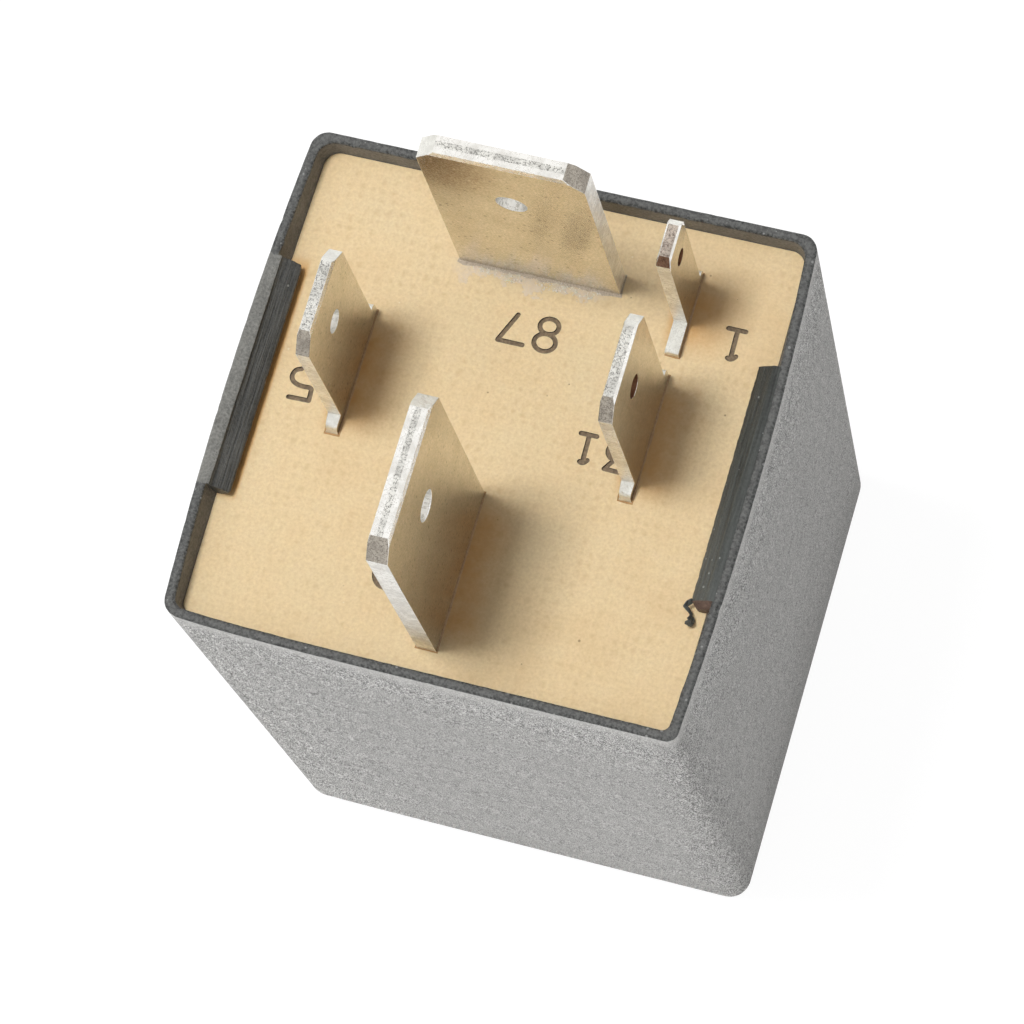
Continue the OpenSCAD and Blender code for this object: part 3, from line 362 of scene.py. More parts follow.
class Look(Tree):
    """A material and its tree. The constants are set on the shader's own sockets."""

    def __init__(self, name, **constants):
        self.material = bpy.data.materials.new(name)
        self.material.use_nodes = True
        super().__init__(self.material.node_tree)
        self.shader = self.tree.nodes["Principled BSDF"].inputs
        for key, value in constants.items():
            self.shader[key.replace("_", " ")].default_value = value
        self.place = self.add("ShaderNodeTexCoord").outputs["Object"]

    def group(self, tree, **inputs):
        """The result of a shader group at the material's place."""
        return self.add("ShaderNodeGroup", {"Vector": self.place, **inputs},
                        node_tree=tree).outputs[0]

    def grain(self, size, detail=3.0):
        return self.group(GRAIN, Size=size, Detail=detail)

    def specks(self, spacing, share, radius):
        return self.group(SPECKS, Spacing=spacing, Share=share, Radius=radius)

    def streaks(self, sizes):
        return self.group(STREAKS, Sizes=sizes)

    def upright(self):
        """How far a surface faces up: 1 for a level one, 0 for a wall."""
        return self.xyz(self.add("ShaderNodeNewGeometry").outputs["Normal"])["Z"]

    def done(self, color, height, depth, rough=None):
        """Wires the shader. The surface is raised by depth millimetres where height is 1."""
        self.put(self.shader["Base Color"], color)
        if rough:
            self.put(self.shader["Roughness"], rough)
        relief = self.add("ShaderNodeBump", {"Height": height, "Distance": depth * MM})
        self.put(self.shader["Normal"], relief.outputs["Normal"])
        return self.material


# Plastics of the cover


def matt_plastic():
    """Outside of the cover: spark-eroded texture, pale grey with light and dark grains, with
    painted shade at the front right upright edge and a painted highlight just below the rim.
    """
    look = Look("cover_matt", Roughness=0.78)
    cloud = look.grain(9.0, 2.0)
    at = look.xyz(look.place)
    depth = look.math("SUBTRACT", RIM_Z * MM, at["Z"])
    # Painted shade by the front right upright edge, wider further down the wall: there the grain
    # has strong contrast, as grazing light gives it, and the colour is darker. The grain also has
    # strong contrast near the rim and on the left of the front wall.
    away_x = look.math("SUBTRACT", at["X"], HALF_X * MM)
    away_y = look.math("ADD", at["Y"], HALF_Y * MM)
    away = look.math("ADD", look.times(away_x, away_x), look.times(away_y, away_y))
    reach = look.math("MULTIPLY_ADD", depth, 0.075, 2.2 * MM)
    edge = look.fall(look.math("DIVIDE", look.math("SQRT", away), reach), 0.15, 1.0)
    near_rim = look.fall(depth, 1.0 * MM, 12 * MM)
    front = look.math("LESS_THAN", at["Y"], -(HALF_Y - 0.6) * MM)
    left = look.fall(at["X"], -HALF_X * MM, -3 * MM, 0.85)
    forced = look.math("MAXIMUM", look.times(near_rim, 0.7), look.times(front, left))
    force = look.math("MAXIMUM", edge, forced)

    # The grains are longer up the wall than across it
    look.place = look.vector("DIVIDE", look.place, (1.0, 1.0, 1.9))[0]
    level = look.weighted(look.grain(0.42, 2.0), 0.16, look.grain(0.075))
    grey = look.ramp(level, (0.22, (118, 116, 114)), (0.5, (167, 166, 164)),
                     (0.78, (210, 209, 206)))
    strong = look.ramp(level, (0.28, (60, 59, 57)), (0.5, (166, 165, 163)),
                       (0.72, (250, 249, 246)))
    color = look.tint(grey, force, 0.9, strong)
    # Painted shade: darker by the front right upright edge
    color = look.tint(color, edge, 0.3, (118, 116, 114))
    color = look.tint(color, cloud, 0.10, (140, 138, 135))
    color = look.tint(color, look.specks(0.24, 0.4, 0.07), 0.3, (215, 214, 210))
    # A painted highlight: the wall is paler just below the rim's rounded outer edge
    rim_highlight = look.fall(depth, 0.3 * MM, 2.2 * MM)
    return look.done(look.tint(color, rim_highlight, 0.62, (202, 201, 198)), level, 0.018)


def bare_plastic():
    """Rim and inside of the cover: the same plastic off a smooth mould face, charcoal, with a
    painted highlight where it faces up.
    """
    look = Look("cover_smooth", Roughness=0.5)
    fine = look.grain(0.15)
    dark = look.ramp(fine, (0.25, (24, 25, 25)), (0.75, (98, 99, 97)))
    wear_and_reflection = look.tint(dark, look.grain(1.6, 2.0), 0.25, (104, 104, 103))
    # A painted highlight: faces that look up, such as the rim's crest, are paler
    up_highlight = look.spread(look.upright(), 0.86, 0.99, 0.0, 0.22)
    paler = look.mix(up_highlight, wear_and_reflection, (150, 150, 148))
    return look.done(look.tint(paler, look.specks(0.4, 0.5, 0.07), 0.6, (172, 172, 170)),
                     fine, 0.06)


def rubbed(name, dark, light, rough, size=0.17):
    """Plastic with a fine two-tone grain, for the torn flash and for walls painted lighter with the
    light that falls on them.
    """
    look = Look(name, Roughness=rough)
    fine = look.grain(size)
    tone = look.weighted(look.grain(1.3, 2.0), 0.3, fine)
    return look.done(look.mix(tone, dark, light), fine, 0.04)


def drawn_plastic(name, dark, light, rough, paler=0.0):
    """Face of a hook, rubbed along its length, and paler towards its front end."""
    look = Look(name, Roughness=rough)
    tone = look.weighted(look.grain(0.16, 2.0), 0.3, look.streaks((0.13, 3.5, 0.2)))
    shade = look.ramp(tone, (0.15, dark), (0.85, light))
    near = look.spread(look.xyz(look.place)["Y"], HOOK_Y0 * MM, HOOK_Y1 * MM, paler, 0.0)
    shade = look.mix(near, shade, (124, 128, 125))
    return look.done(look.tint(shade, look.specks(0.45, 0.3, 0.06), 0.7, (164, 166, 163)),
                     tone, 0.05)


# Board


def flux_mask(look, at):
    """Where the flux crust lies in front of the blade at the back: 1 on it, 0 off it."""
    low, high = BLADE_BASES["terminal_87"]
    edge = look.spread(look.grain(1.1, 4.0), 0.0, 1.0, (low.y - 1.6) * MM, (low.y + 0.2) * MM)
    inside = look.math("GREATER_THAN", at["Y"], edge)
    before = look.math("LESS_THAN", at["Y"], (low.y + 0.1) * MM)
    left = look.rise(at["X"], (low.x - 0.8) * MM, (low.x + 1.2) * MM)
    right = look.fall(at["X"], (high.x - 2.2) * MM, high.x * MM)
    return look.times(look.times(inside, before), look.times(left, right))


def laminate():
    """Cream laminate with a faint weave, small specks, flux at one blade and dark grooves, with
    painted shadows beside the blades and under the left hook, a painted highlight on its sloped
    faces and painted shade on the grooves' walls.
    """
    look = Look("board_laminate", Subsurface_Weight=0.12, Subsurface_Scale=0.4 * MM,
                Subsurface_Radius=(1.0, 0.6, 0.3))
    at = look.xyz(look.place)
    cloud, patch, fine = look.grain(6.0), look.grain(1.0), look.grain(0.18)
    faint = look.times(look.group(WEAVE, Pitch=0.65), look.spread(patch, 0.3, 0.85))
    color = look.ramp(cloud, (0.0, (238, 217, 176)), (0.5, (240, 216, 173)),
                      (1.0, (234, 207, 163)))
    color = look.tint(color, faint, 0.38, (198, 166, 118))
    color = look.tint(color, fine, 0.55, (210, 182, 138))
    color = look.tint(color, look.specks(1.5, 0.5, 0.07), 0.6, (120, 88, 56))
    color = look.tint(color, look.specks(1.1, 0.3, 0.06), 0.45, (250, 238, 214))
    crust = flux_mask(look, at)
    color = look.tint(color, crust, look.spread(fine, 0, 1, 0.3, 0.95), (224, 208, 190))

    # Painted shadows beside the blades, warm as the light the board bounces into them, and a
    # painted contact shadow under the left hook's tip
    foot_shadows = 0.0
    for node, (low, high) in BLADE_BASES.items():
        reach = 1.8 if node == "terminal_87" else 3.4
        foot_shadows = look.math("MAXIMUM", foot_shadows, look.group(FOOT_SHADOW, Low=low, High=high, Reach=reach))
    patchy_foot_shadows = look.times(foot_shadows, look.spread(patch, 0.0, 1.0, 0.65, 1.0))
    # Painted shadow colour beside the blades' feet
    color = look.tint(color, patchy_foot_shadows, 0.85, (204, 146, 72))
    # Painted contact shadow along the left hook's tip
    hook_tip_shadow = look.fall(at["X"], -(HOOK_TIP - 0.06) * MM, -(HOOK_TIP - 0.36) * MM)
    beside = look.spread(look.math("ABSOLUTE", at["Y"]), 6.6 * MM, 7.6 * MM, 1.0, 0.0)
    color = look.tint(color, look.times(hook_tip_shadow, beside), 0.75, (206, 146, 66))

    # The numbers, whose floors lie just under the top, away from the board's own edge
    upright = look.upright()
    sunk = look.math("LESS_THAN", at["Z"], (BOARD_TOP - 0.02) * MM)
    shallow = look.math("GREATER_THAN", at["Z"], (BOARD_TOP - 0.3) * MM)
    away = look.math("MAXIMUM", look.math("ABSOLUTE", at["X"]), look.math("ABSOLUTE", at["Y"]))
    groove = look.times(look.times(sunk, shallow), look.math("LESS_THAN", away, NUMBERS_REACH * MM))
    # A painted highlight: faces of the board that slope from level, such as its rounded edge, are
    # paler
    color = look.mix(look.spread(upright, 0.7, 0.97, 0.6, 0.0), color, (252, 240, 216))
    sunken = look.mix(look.spread(fine, 0, 1, 0.1, 1), (84, 72, 60), (150, 130, 104))
    # Painted shade: the grooves' walls are near black, over the floors' own grey brown
    groove_floor_and_shade = look.mix(look.spread(upright, 0.3, 0.9, 1.0, 0.0), sunken, (48, 40, 36))
    relief = look.math("MULTIPLY_ADD", faint, 0.5, look.times(fine, 0.3))
    return look.done(look.mix(groove, color, groove_floor_and_shade), look.math("MULTIPLY_ADD", crust, 1.5, relief),
                     0.02, look.spread(cloud, 0.0, 1.0, 0.36, 0.5))


# Metals


def tinned_face():
    """Rolled faces of the blades: bright tin, a blurred mirror with fine pits."""
    look = Look("tin_face", Metallic=1.0)
    cloud, fine = look.grain(2.2), look.grain(0.14)
    color = look.mix(cloud, (246, 243, 236), (224, 219, 208))
    color = look.tint(color, fine, 0.75, (186, 180, 163))
    color = look.tint(color, look.specks(0.36, 0.5, 0.07), 0.55, (124, 116, 100))
    color = look.tint(color, look.specks(0.5, 0.3, 0.045), 0.8, (255, 252, 244))

    # A painted reflection of the darker board, brown with light specks, at one upper corner of the
    # blade at the back
    low = BLADE_BASES["terminal_87"][0]
    corner = ((low.x + 1.4) * MM, low.y * MM, (BOARD_TOP + 14.2) * MM)
    away = look.vector("DISTANCE", look.place, corner)["Value"]
    wear_and_reflection = look.fall(away, 1.0 * MM, 4.2 * MM, 0.75)
    color = look.tint(color, wear_and_reflection, fine, (170, 140, 108))
    color = look.tint(color, wear_and_reflection, look.specks(0.6, 0.4, 0.1), (250, 248, 242))
    return look.done(color, fine, 0.004, look.spread(cloud, 0.0, 1.0, 0.16, 0.27))


def tinned_edge(name, light, dark, rough, size, cracks, depth, lines=None):
    """An edge of a blade: tin with some cracks, and with sheared lines where they are given."""
    look = Look(name, Metallic=1.0)
    torn = look.grain(size, 4.0)
    if lines:
        torn = look.weighted(look.streaks(lines), 0.6, torn)
    ridge = look.math("ABSOLUTE", look.math("SUBTRACT", torn, 0.5))
    crack = look.times(look.spread(ridge, 0.012, 0.065, 1.0, 0.0), cracks)
    share = look.math("MAXIMUM", crack, look.spread(look.grain(0.9, 2.0), 0.35, 0.8, 0.0, 0.28))
    relief = look.math("MULTIPLY_ADD", look.grain(0.07, 2.0), 0.25, torn)
    return look.done(look.mix(share, light, dark), relief, depth,
                     look.spread(torn, 0.0, 1.0, rough + 0.06, rough - 0.06))


def crust_material():
    """Grains of dried flux."""
    look = Look("flux_grain", Roughness=0.5, Subsurface_Weight=0.3, Subsurface_Scale=0.3 * MM)
    fine = look.grain(0.2, 2.0)
    return look.done(look.mix(fine, (226, 206, 184), (246, 236, 222)), fine, 0.02)


def plain_metal(name, light, dark, rough, size=0.8, direction=(0.1, 0.1, 3.0)):
    """Rolled or drawn metal with faint lines and clouding."""
    look = Look(name, Metallic=1.0)
    lines = look.streaks(direction)
    tone = look.weighted(lines, 0.4, look.grain(size))
    return look.done(look.mix(tone, light, dark), lines, 0.006,
                     look.spread(tone, 0.0, 1.0, rough - 0.06, rough + 0.1))


def wound_copper():
    """Enamelled wire in layers."""
    look = Look("wound_copper", Metallic=0.85)
    turn = look.math("SINE", look.times(look.xyz(look.place)["Z"],
                                        2 * math.pi / (WIRE_PITCH * MM)))
    turn_relief_and_shade = look.math("MULTIPLY_ADD", turn, 0.5, 0.5)
    cloud = look.grain(1.5, 2.0)
    copper = look.mix(cloud, (190, 92, 48), (152, 64, 34))
    # Painted shade: the troughs between the turns are dark
    return look.done(look.mix(turn_relief_and_shade, (92, 36, 20), copper), turn_relief_and_shade, 0.05,
                     look.spread(cloud, 0.0, 1.0, 0.24, 0.36))


# Coats of the parts inside


def moulded(name, light, dark, rough, size=0.3, depth=0.01):
    """Moulded plastic, rubber, epoxy or a dipped coat."""
    look = Look(name)
    fine = look.grain(size)
    return look.done(look.mix(look.spread(fine, 0, 1, 0.2, 0.8), light, dark), fine, depth,
                     look.spread(look.grain(size * 6, 2.0), 0.0, 1.0, rough - 0.06, rough + 0.08))


def banded(node, name, light, dark, rough, bands):
    """A coat with colour bands across an axial part, placed from that part's own box."""
    look = Look(name, Roughness=rough)
    low, high = node_box(node)
    axis = "Z" if high.z - low.z > high.y - low.y else "Y"
    k = "XYZ".index(axis)
    length = high[k] - low[k]
    lead = 2.25 if length > 9 else 2.05
    at = look.xyz(look.place)
    along = look.math("SUBTRACT", at[axis], (low[k] + high[k]) / 2 * MM)
    fine = look.grain(0.25, 2.0)
    color = look.mix(look.times(fine, 0.3), light, dark)
    for start, width, stripe in bands:
        offset = look.math("ABSOLUTE", look.math("SUBTRACT", along, (start + width / 2) * MM))
        color = look.mix(look.math("LESS_THAN", offset, width / 2 * MM), color, stripe)
    body = look.times(look.math("LESS_THAN", at["X"], (high.x - 1.75) * MM),
                      look.math("LESS_THAN", look.math("ABSOLUTE", along),
                                (length / 2 - lead) * MM))
    look.put(look.shader["Metallic"], look.math("SUBTRACT", 1.0, body))
    return look.done(look.mix(body, (196, 194, 188), color), fine, 0.01)


# Meshes


def placed(name, data):
    """A new object in the scene."""
    piece = bpy.data.objects.new(name, data)
    bpy.context.scene.collection.objects.link(piece)
    return piece


@contextmanager
def edited(piece):
    """Opens a piece's mesh for changes, and puts the result back."""
    edit = bmesh.new()
    edit.from_mesh(piece.data)
    yield edit
    edit.to_mesh(piece.data)
    edit.free()


def solid(name, points, faces, material_of_face=None, materials=(), smooth=35):
    """A mesh object from points in millimetres."""
    mesh = bpy.data.meshes.new(name)
    mesh.from_pydata([tuple(c * MM for c in p) for p in points], [], faces)
    mesh.update()
    for material in materials:
        mesh.materials.append(material)
    if material_of_face is not None:
        mesh.polygons.foreach_set("material_index", np.array(material_of_face, np.int32))
    shade(mesh, smooth)
    return placed(name, mesh)


def shade(mesh, angle, flat_area=1e6):
    """Smooth shading with edges sharp from an angle. Many-sided and large faces stay flat."""
    limit = flat_area * MM * MM
    smooth = [len(face.vertices) <= 4 and face.area < limit for face in mesh.polygons]
    mesh.polygons.foreach_set("use_smooth", [True] * len(smooth))
    mesh.set_sharp_from_angle(angle=math.radians(angle))
    mesh.polygons.foreach_set("use_smooth", smooth)


def turned_out(piece, angle):
    """Joins a closed mesh's doubled points and turns its faces outwards."""
    with edited(piece) as edit:
        bmesh.ops.remove_doubles(edit, verts=edit.verts, dist=MERGE)
        bmesh.ops.recalc_face_normals(edit, faces=edit.faces)
    shade(piece.data, angle)
    return piece


def simplify(edit):
    """Joins doubled points, and triangles of one plane into flat faces."""
    bmesh.ops.remove_doubles(edit, verts=edit.verts, dist=MERGE)
    bmesh.ops.dissolve_limit(edit, angle_limit=math.radians(0.5), verts=edit.verts,
                             edges=edit.edges)


def finished(piece):
    """Turns a piece and its modifiers into a plain mesh."""
    graph = bpy.context.evaluated_depsgraph_get()
    mesh = bpy.data.meshes.new_from_object(piece.evaluated_get(graph))
    piece.modifiers.clear()
    piece.data = mesh
    return piece


def modified(piece, name, kind, **settings):
    """Applies one modifier to a piece."""
    modifier = piece.modifiers.new(name, kind)
    for key, value in settings.items():
        setattr(modifier, key, value)
    return finished(piece)


def merged_copy(node, name):
    """A new piece with the shape of a solid, its triangles joined into flat faces."""
    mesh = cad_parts[node].data.copy()
    mesh.materials.clear()
    mesh.name = name
    piece = placed(name, mesh)
    with edited(piece) as edit:
        simplify(edit)
    return piece


def bevelled(piece, angle):
    """Rounds the edges of a piece that turn by more than an angle."""
    return modified(piece, "edges", "BEVEL", width=EDGE_ROUND * MM, segments=2,
                    limit_method="ANGLE", angle_limit=math.radians(angle), harden_normals=False)


def wobble(x, y, z, size, seed=0.0):
    """Smooth random value from -1 to 1 at a place, with features of this size."""
    return noise.noise(Vector((x / size + seed, y / size - seed, z / size + 2 * seed)))


def tube_faces(count, around, closed=False, start=0):
    """Four-sided faces between rows of points, each row closed on itself."""
    faces = []
    for r in range(count if closed else count - 1):
        first, second = start + r * around, start + (r + 1) % count * around
        for k in range(around):
            n = (k + 1) % around
            faces.append((first + k, first + n, second + n, second + k))
    return faces


# Cover

SIDE_STEPS = 84
CORNER_STEPS = 9
MATT, BARE, LIP, LIT_BAND = range(4)


def cover_outline(half_x, half_y, radii, bow):
    """Points around the cover: a rectangle with round corners whose X sides bow outwards."""
    corners = []
    for (sx, sy, start), radius in zip(((1, 1, 0), (-1, 1, 90), (-1, -1, 180), (1, -1, 270)),
                                       radii):
        angles = [math.radians(start + 90 * k / CORNER_STEPS) for k in range(CORNER_STEPS + 1)]
        corners.append([(sx * (half_x - radius) + radius * math.cos(a),
                         sy * (half_y - radius) + radius * math.sin(a)) for a in angles])
    points = []
    for index, corner in enumerate(corners):
        (x0, y0), (x1, y1) = corners[index - 1][-1], corner[0]
        points += [(x0 + (x1 - x0) * k / SIDE_STEPS, y0 + (y1 - y0) * k / SIDE_STEPS)
                   for k in range(1, SIDE_STEPS)]
        points += corner
    return [(x + math.copysign(bow * max(0.0, 1 - (y / half_y) ** 2), x), y) for x, y in points]


def between(first, second, share):
    """Radii part of the way from one set to another."""
    return [a + (b - a) * share for a, b in zip(first, second)]


def settled(row, z=None, front=1.0, back=1.0):
    """Bows the front wall out a little and sets the back wall in, as the real cover has them.
    Points near the middle stay, and those near the closed end move less."""
    moved = []
    for x, y, *height in row:
        level = height[0] if height else z
        near = min(1.0, max(0.0, (abs(y) - 9) / 5)) * (0.3 + 0.7 * level / RIM_Z)
        out = FRONT_OUT + FRONT_BOW * (1 - math.exp(-max(0.0, x + 14) / 4))
        moved.append((x, y - near * (out * front if y < 0 else BACK_IN * back), level))
    return moved


def edge_row(z, grow=0.0):
    """Outline of the board's edge at a height."""
    row = cover_outline(EDGE_HALF_X + grow, BOARD_HIGH.y + grow, LIP_R, EDGE_BOW)
    return settled(row, z, EDGE_FRONT, 0.0)


def outer_row(z):
    """Outline of the outer wall at a height."""
    share = max(0.0, (z - END_EDGE_R) / (RIM_Z - END_EDGE_R))
    inset = END_EDGE_R - math.sqrt(END_EDGE_R ** 2 - max(0.0, END_EDGE_R - z) ** 2)
    shrink = DRAFT * (1 - share) + inset
    radii = [max(0.1, r - inset / 2) for r in between(END_R, RIM_R, share)]
    return settled(cover_outline(HALF_X - shrink, HALF_Y - shrink, radii, BOW * share), z)


def lip_row(z, offset):
    """Outline at a distance inside the rim's outer edge."""
    radii = between(RIM_R, LIP_R, min(1.0, offset / LIP_T))
    return settled(cover_outline(HALF_X - offset, HALF_Y - offset, radii, BOW), z)


def inner_row(z, inset=0.0):
    """Outline of the inner wall below the ledge."""
    share = max(0.0, (z - END_T) / (RIM_Z - END_T))
    shrink = WALL_T + DRAFT * (1 - share) + inset
    return [(x, y, z) for x, y in cover_outline(HALF_X - shrink, HALF_Y - shrink,
                                                [INNER_R] * 4, BOW * share)]


def nicked(row, depth, seed):
    """Wears a row of points on the rim inwards and down by small uneven amounts."""
    wear_and_reflection = []
    for x, y, z in row:
        dent = max(0.0, wobble(x, y, z, 0.9, seed)) * 0.6
        dent += max(0.0, wobble(x, y, z, 0.35, seed + 7)) ** 2 * 2.4
        wear_and_reflection.append((x - math.copysign(depth * dent, x) * (abs(x) > abs(y) * 0.9),
                     y - math.copysign(depth * dent, y) * (abs(y) > abs(x) * 0.9),
                     z - depth * dent * 0.8))
    return wear_and_reflection


def guide_boxes():
    """The four ribs inside the cover that hold the circuit board's edges, as boxes."""
    low, high = node_box("circuit_board")
    top = node_box("bobbin")[0].z + GUIDE_RISE
    boxes = []
    for x in (low.x - GUIDE_GAP - GUIDE_T, high.x + GUIDE_GAP):
        for side in (-1, 1):
            y0, y1 = high.y - GUIDE_GRIP, HALF_Y - DRAFT - WALL_T + GUIDE_SUNK
            boxes.append(((x, min(side * y0, side * y1), END_T - GUIDE_SUNK),
                          (x + GUIDE_T, max(side * y0, side * y1), top)))
    return boxes


def box_mesh(low, high, start):
    """Corners and faces of a box, with face numbers that start at an index."""
    points = [(x, y, z) for x in (low[0], high[0]) for y in (low[1], high[1])
              for z in (low[2], high[2])]
    faces = [(0, 1, 3, 2), (4, 6, 7, 5), (0, 4, 5, 1), (2, 3, 7, 6), (0, 2, 6, 4), (1, 5, 7, 3)]
    return points, [tuple(start + k for k in face) for face in faces]


def cover_rows():
    """Rows of points up the outside, over the rim and down the inside, with their finishes."""
    turns = [math.radians(22.5 * k) for k in range(5)]
    rows = [(MATT, outer_row(END_EDGE_R * (1 - math.cos(a)))) for a in turns]
    rows += [(MATT, outer_row(z)) for z in WALL_LEVELS]
    rows.append((MATT, nicked(outer_row(RIM_Z - 0.14), 0.03, 1.0)))
    for offset, drop, depth, seed in (
            (0.03, 0.1, 0.07, 1.0), (0.11, 0.025, 0.08, 1.0), (LIP_T / 2, 0.0, 0.05, 1.0),
            (LIP_T - 0.12, 0.025, 0.05, 3.0), (LIP_T - 0.02, 0.1, 0.05, 3.0),
            (LIP_T, 0.2, 0.03, 3.0)):
        rows.append((BARE, nicked(lip_row(RIM_Z - drop, offset), depth, seed)))
    for z, share in ((RIM_Z - 0.5, 0.1), (RIM_Z - 1.1, 0.6), (BOARD_TOP, 1.0)):
        pairs = zip(lip_row(z, LIP_T), edge_row(z, 0.03))
        rows.append((LIP, [tuple(Vector(a).lerp(Vector(b), share)) for a, b in pairs]))
    rows += [(LIP, edge_row(z)) for z in (BOARD_TOP - 0.06, LEDGE_Z)]
    rows += [(BARE, inner_row(z, inset)) for z, inset in (
        (LEDGE_Z, 0), (30, 0), (20, 0), (10, 0), (END_T + 0.4, 0), (END_T + 0.08, 0.12),
        (END_T, 0.45))]
    return rows


def make_cover():
    """The moulded cup: matt outside, smooth rim and inside, guides for the circuit board."""
    rows = cover_rows()
    count = len(rows[0][1])
    points = [p for _, row in rows for p in row]
    faces = tube_faces(len(rows), count)
    index = [kind for kind, _ in rows[1:] for _ in range(count)]
    faces += [tuple(range(count - 1, -1, -1)), tuple(range(len(points) - count, len(points)))]
    index += [MATT, BARE]
    for low, high in guide_boxes():
        corners, sides = box_mesh(low, high, len(points))
        points += corners
        faces += sides
        index += [BARE] * len(sides)
    # The lip's inner wall is painted lighter and browner, as the light that the board throws on it
    inner = rubbed("cover_lip_lit", (82, 80, 77), (136, 132, 125), 0.6)
    # The left hook's band is painted paler than the rest of the rim, as the light from the left
    # falls on it
    band = rubbed("hook_band_lit", (92, 92, 89), (150, 149, 144), 0.65)
    piece = turned_out(solid("cover_shell", points, faces, index,
                             (matt_plastic(), bare_plastic(), inner, band)), 40)
    # Rim faces beside the left hook take the band's painted light too
    for face in piece.data.polygons:
        at = face.center / MM
        beside_hook = at.z > RIM_Z - 0.4 and HOOK_Y0 < at.y < HOOK_Y1
        if face.material_index == BARE and beside_hook:
            if at.x < -(COVER_HIGH.x - HOOK_BAND_T - 0.1):
                face.material_index = LIT_BAND
    return piece


# Snap hooks


def hook_rows(profile_at, start):
    """Profiles of a hook at steps along Y."""
    count = round((HOOK_Y1 - start) / HOOK_STEP)
    places = [start + (HOOK_Y1 - start) * k / count for k in range(count + 1)]
    return [[(x, y, z) for x, z in profile_at(y)] for y in places]


def strip_mesh(name, rows, kinds, materials):
    """A closed bar through rows of matching points, its ends closed with flat faces."""
    count = len(rows[0])
    points = [p for row in rows for p in row]
    faces = tube_faces(len(rows), count)
    faces += [tuple(range(count)), tuple(range(len(points) - 1, len(points) - count - 1, -1))]
    index = list(kinds) * (len(rows) - 1) + [kinds[-1]] * 2
    return turned_out(solid(name, points, faces, index, materials), 38)


def hook_waves(x, y, length):
    """Uneven edge of a hook's tip, and slow drift of its lines, at a place along it."""
    edge = wobble(x, y, 0, 0.5, 2) * 0.035 + wobble(x, y, 0, 0.16, 5) * 0.02
    return HOOK_TIP + edge, wobble(x, y, 0, length, 9) * 0.03


def left_profile(y):
    """The left hook across its length: a flat band on the rim, then a slope to the tip."""
    tip, line = hook_waves(0, y, 1.6)
    band = COVER_HIGH.x - HOOK_BAND_T - 0.02 + line
    tip += 0.1 * (max(0.0, 1 - (HOOK_Y1 - y) / 0.25) + max(0.0, 1 - (y - HOOK_Y0) / 0.2))
    half = [(15.15, 38.3), (15.15, 39.97), (14.9, 39.985), (band + 0.05, 39.98), (band, 39.94),
            (band - 0.03, 39.8), (band - 0.08, 39.72), (14.1, 39.55 + line),
            (13.85, 39.42 + 0.4 * line), (tip + 0.22, 39.27), (tip + 0.1, 39.2),
            (tip + 0.02, 39.12), (tip, 39.03), (tip + 0.03, 38.93), (13.75, 38.74),
            (14.02, 38.56), (14.08, 38.46)]
    return [(-x, z) for x, z in half]


def right_profile(y):
    """The right hook across its length: a ridge beyond the middle and a groove at the rim."""
    tip, line = hook_waves(9, y, 1.8)
    return [(15.25, 38.3), (15.25, 39.78), (15.12, 39.76), (15.05, 39.84), (14.9, 39.95 + line / 2),
            (14.66, 39.985), (14.42 + line, 39.93), (14.3 + line, 39.8), (14.0, 39.6 + line),
            (13.78, 39.45), (tip + 0.2, 39.32), (tip + 0.08, 39.22), (tip + 0.01, 39.12),
            (tip, 39.02), (tip + 0.04, 38.92), (13.75, 38.74), (14.02, 38.56), (14.08, 38.46)]


def make_hooks(band):
    """Both hooks. The first four flats of the left one are its band."""
    left = drawn_plastic("hook_drawn_left", (40, 41, 41), (96, 96, 93), 0.42)
    right = drawn_plastic("hook_drawn_right", (12, 15, 14), (70, 73, 70), 0.36, 0.28)
    torn = rubbed("hook_torn", (58, 46, 44), (122, 100, 88), 0.55, 0.25)
    left_hook = strip_mesh("snap_hook_left", hook_rows(left_profile, HOOK_Y0),
                           [0] * 4 + [1] * 13, (band, left))

    # The right hook starts with a short torn taper
    rows = hook_rows(right_profile, HOOK_Y0 + 0.05)
    taper = [(x + (14.55 - x) * 0.35, y - 0.34, min(z - 0.35, 39.4)) for x, y, z in rows[0]]
    right_hook = strip_mesh("snap_hook_right", [taper] + rows, [0] * len(taper), (right, torn))
    for polygon in right_hook.data.polygons:
        if polygon.center.y < (HOOK_Y0 + 0.03) * MM:
            polygon.material_index = 1
    return [left_hook, right_hook]


# The torn flash, from its root to its tip: the middle of each step, and its width there
FLASH = [(13.62, -7.02, 39.12, 0.3), (13.3, -7.3, 39.1, 0.5), (13.2, -7.45, 39.02, 0.5),
         (13.42, -7.66, 38.9, 0.34), (13.6, -7.85, 38.82, 0.3), (13.62, -8.02, 38.86, 0.62),
         (13.78, -8.2, 38.95, 0.8), (13.72, -8.38, 39.02, 0.74), (13.5, -8.4, 39.0, 0.5),
         (13.42, -8.3, 38.9, 0.2)]


def make_flash(material):
    """A curl of torn flash that hangs from the end of the right hook over the board."""
    path = [Vector(step[:3]) for step in FLASH]
    rows = []
    for k, centre in enumerate(path):
        along = path[min(len(path) - 1, k + 1)] - path[max(0, k - 1)]
        side = Vector((0.55 * along.y, -0.55 * along.x, 0.8 * along.length)).normalized()
        thick = along.cross(side).normalized() * 0.06
        wide = side * FLASH[k][3] / 2
        rows.append([tuple(centre + wide + thick), tuple(centre - wide + thick),
                     tuple(centre - wide - thick), tuple(centre + wide - thick)])
    piece = strip_mesh("torn_flash", rows, [0] * 4, (material,))
    modified(piece, "curl", "SUBSURF", levels=2, render_levels=2)
    with edited(piece) as edit:
        for vertex in edit.verts:
            push = wobble(*(vertex.co / MM), 0.2, 4) * 0.12
            vertex.co += Vector((push, push * 0.6, push * 0.5)) * MM
            vertex.co.z = max(vertex.co.z, (BOARD_TOP + 0.03) * MM)
    return piece


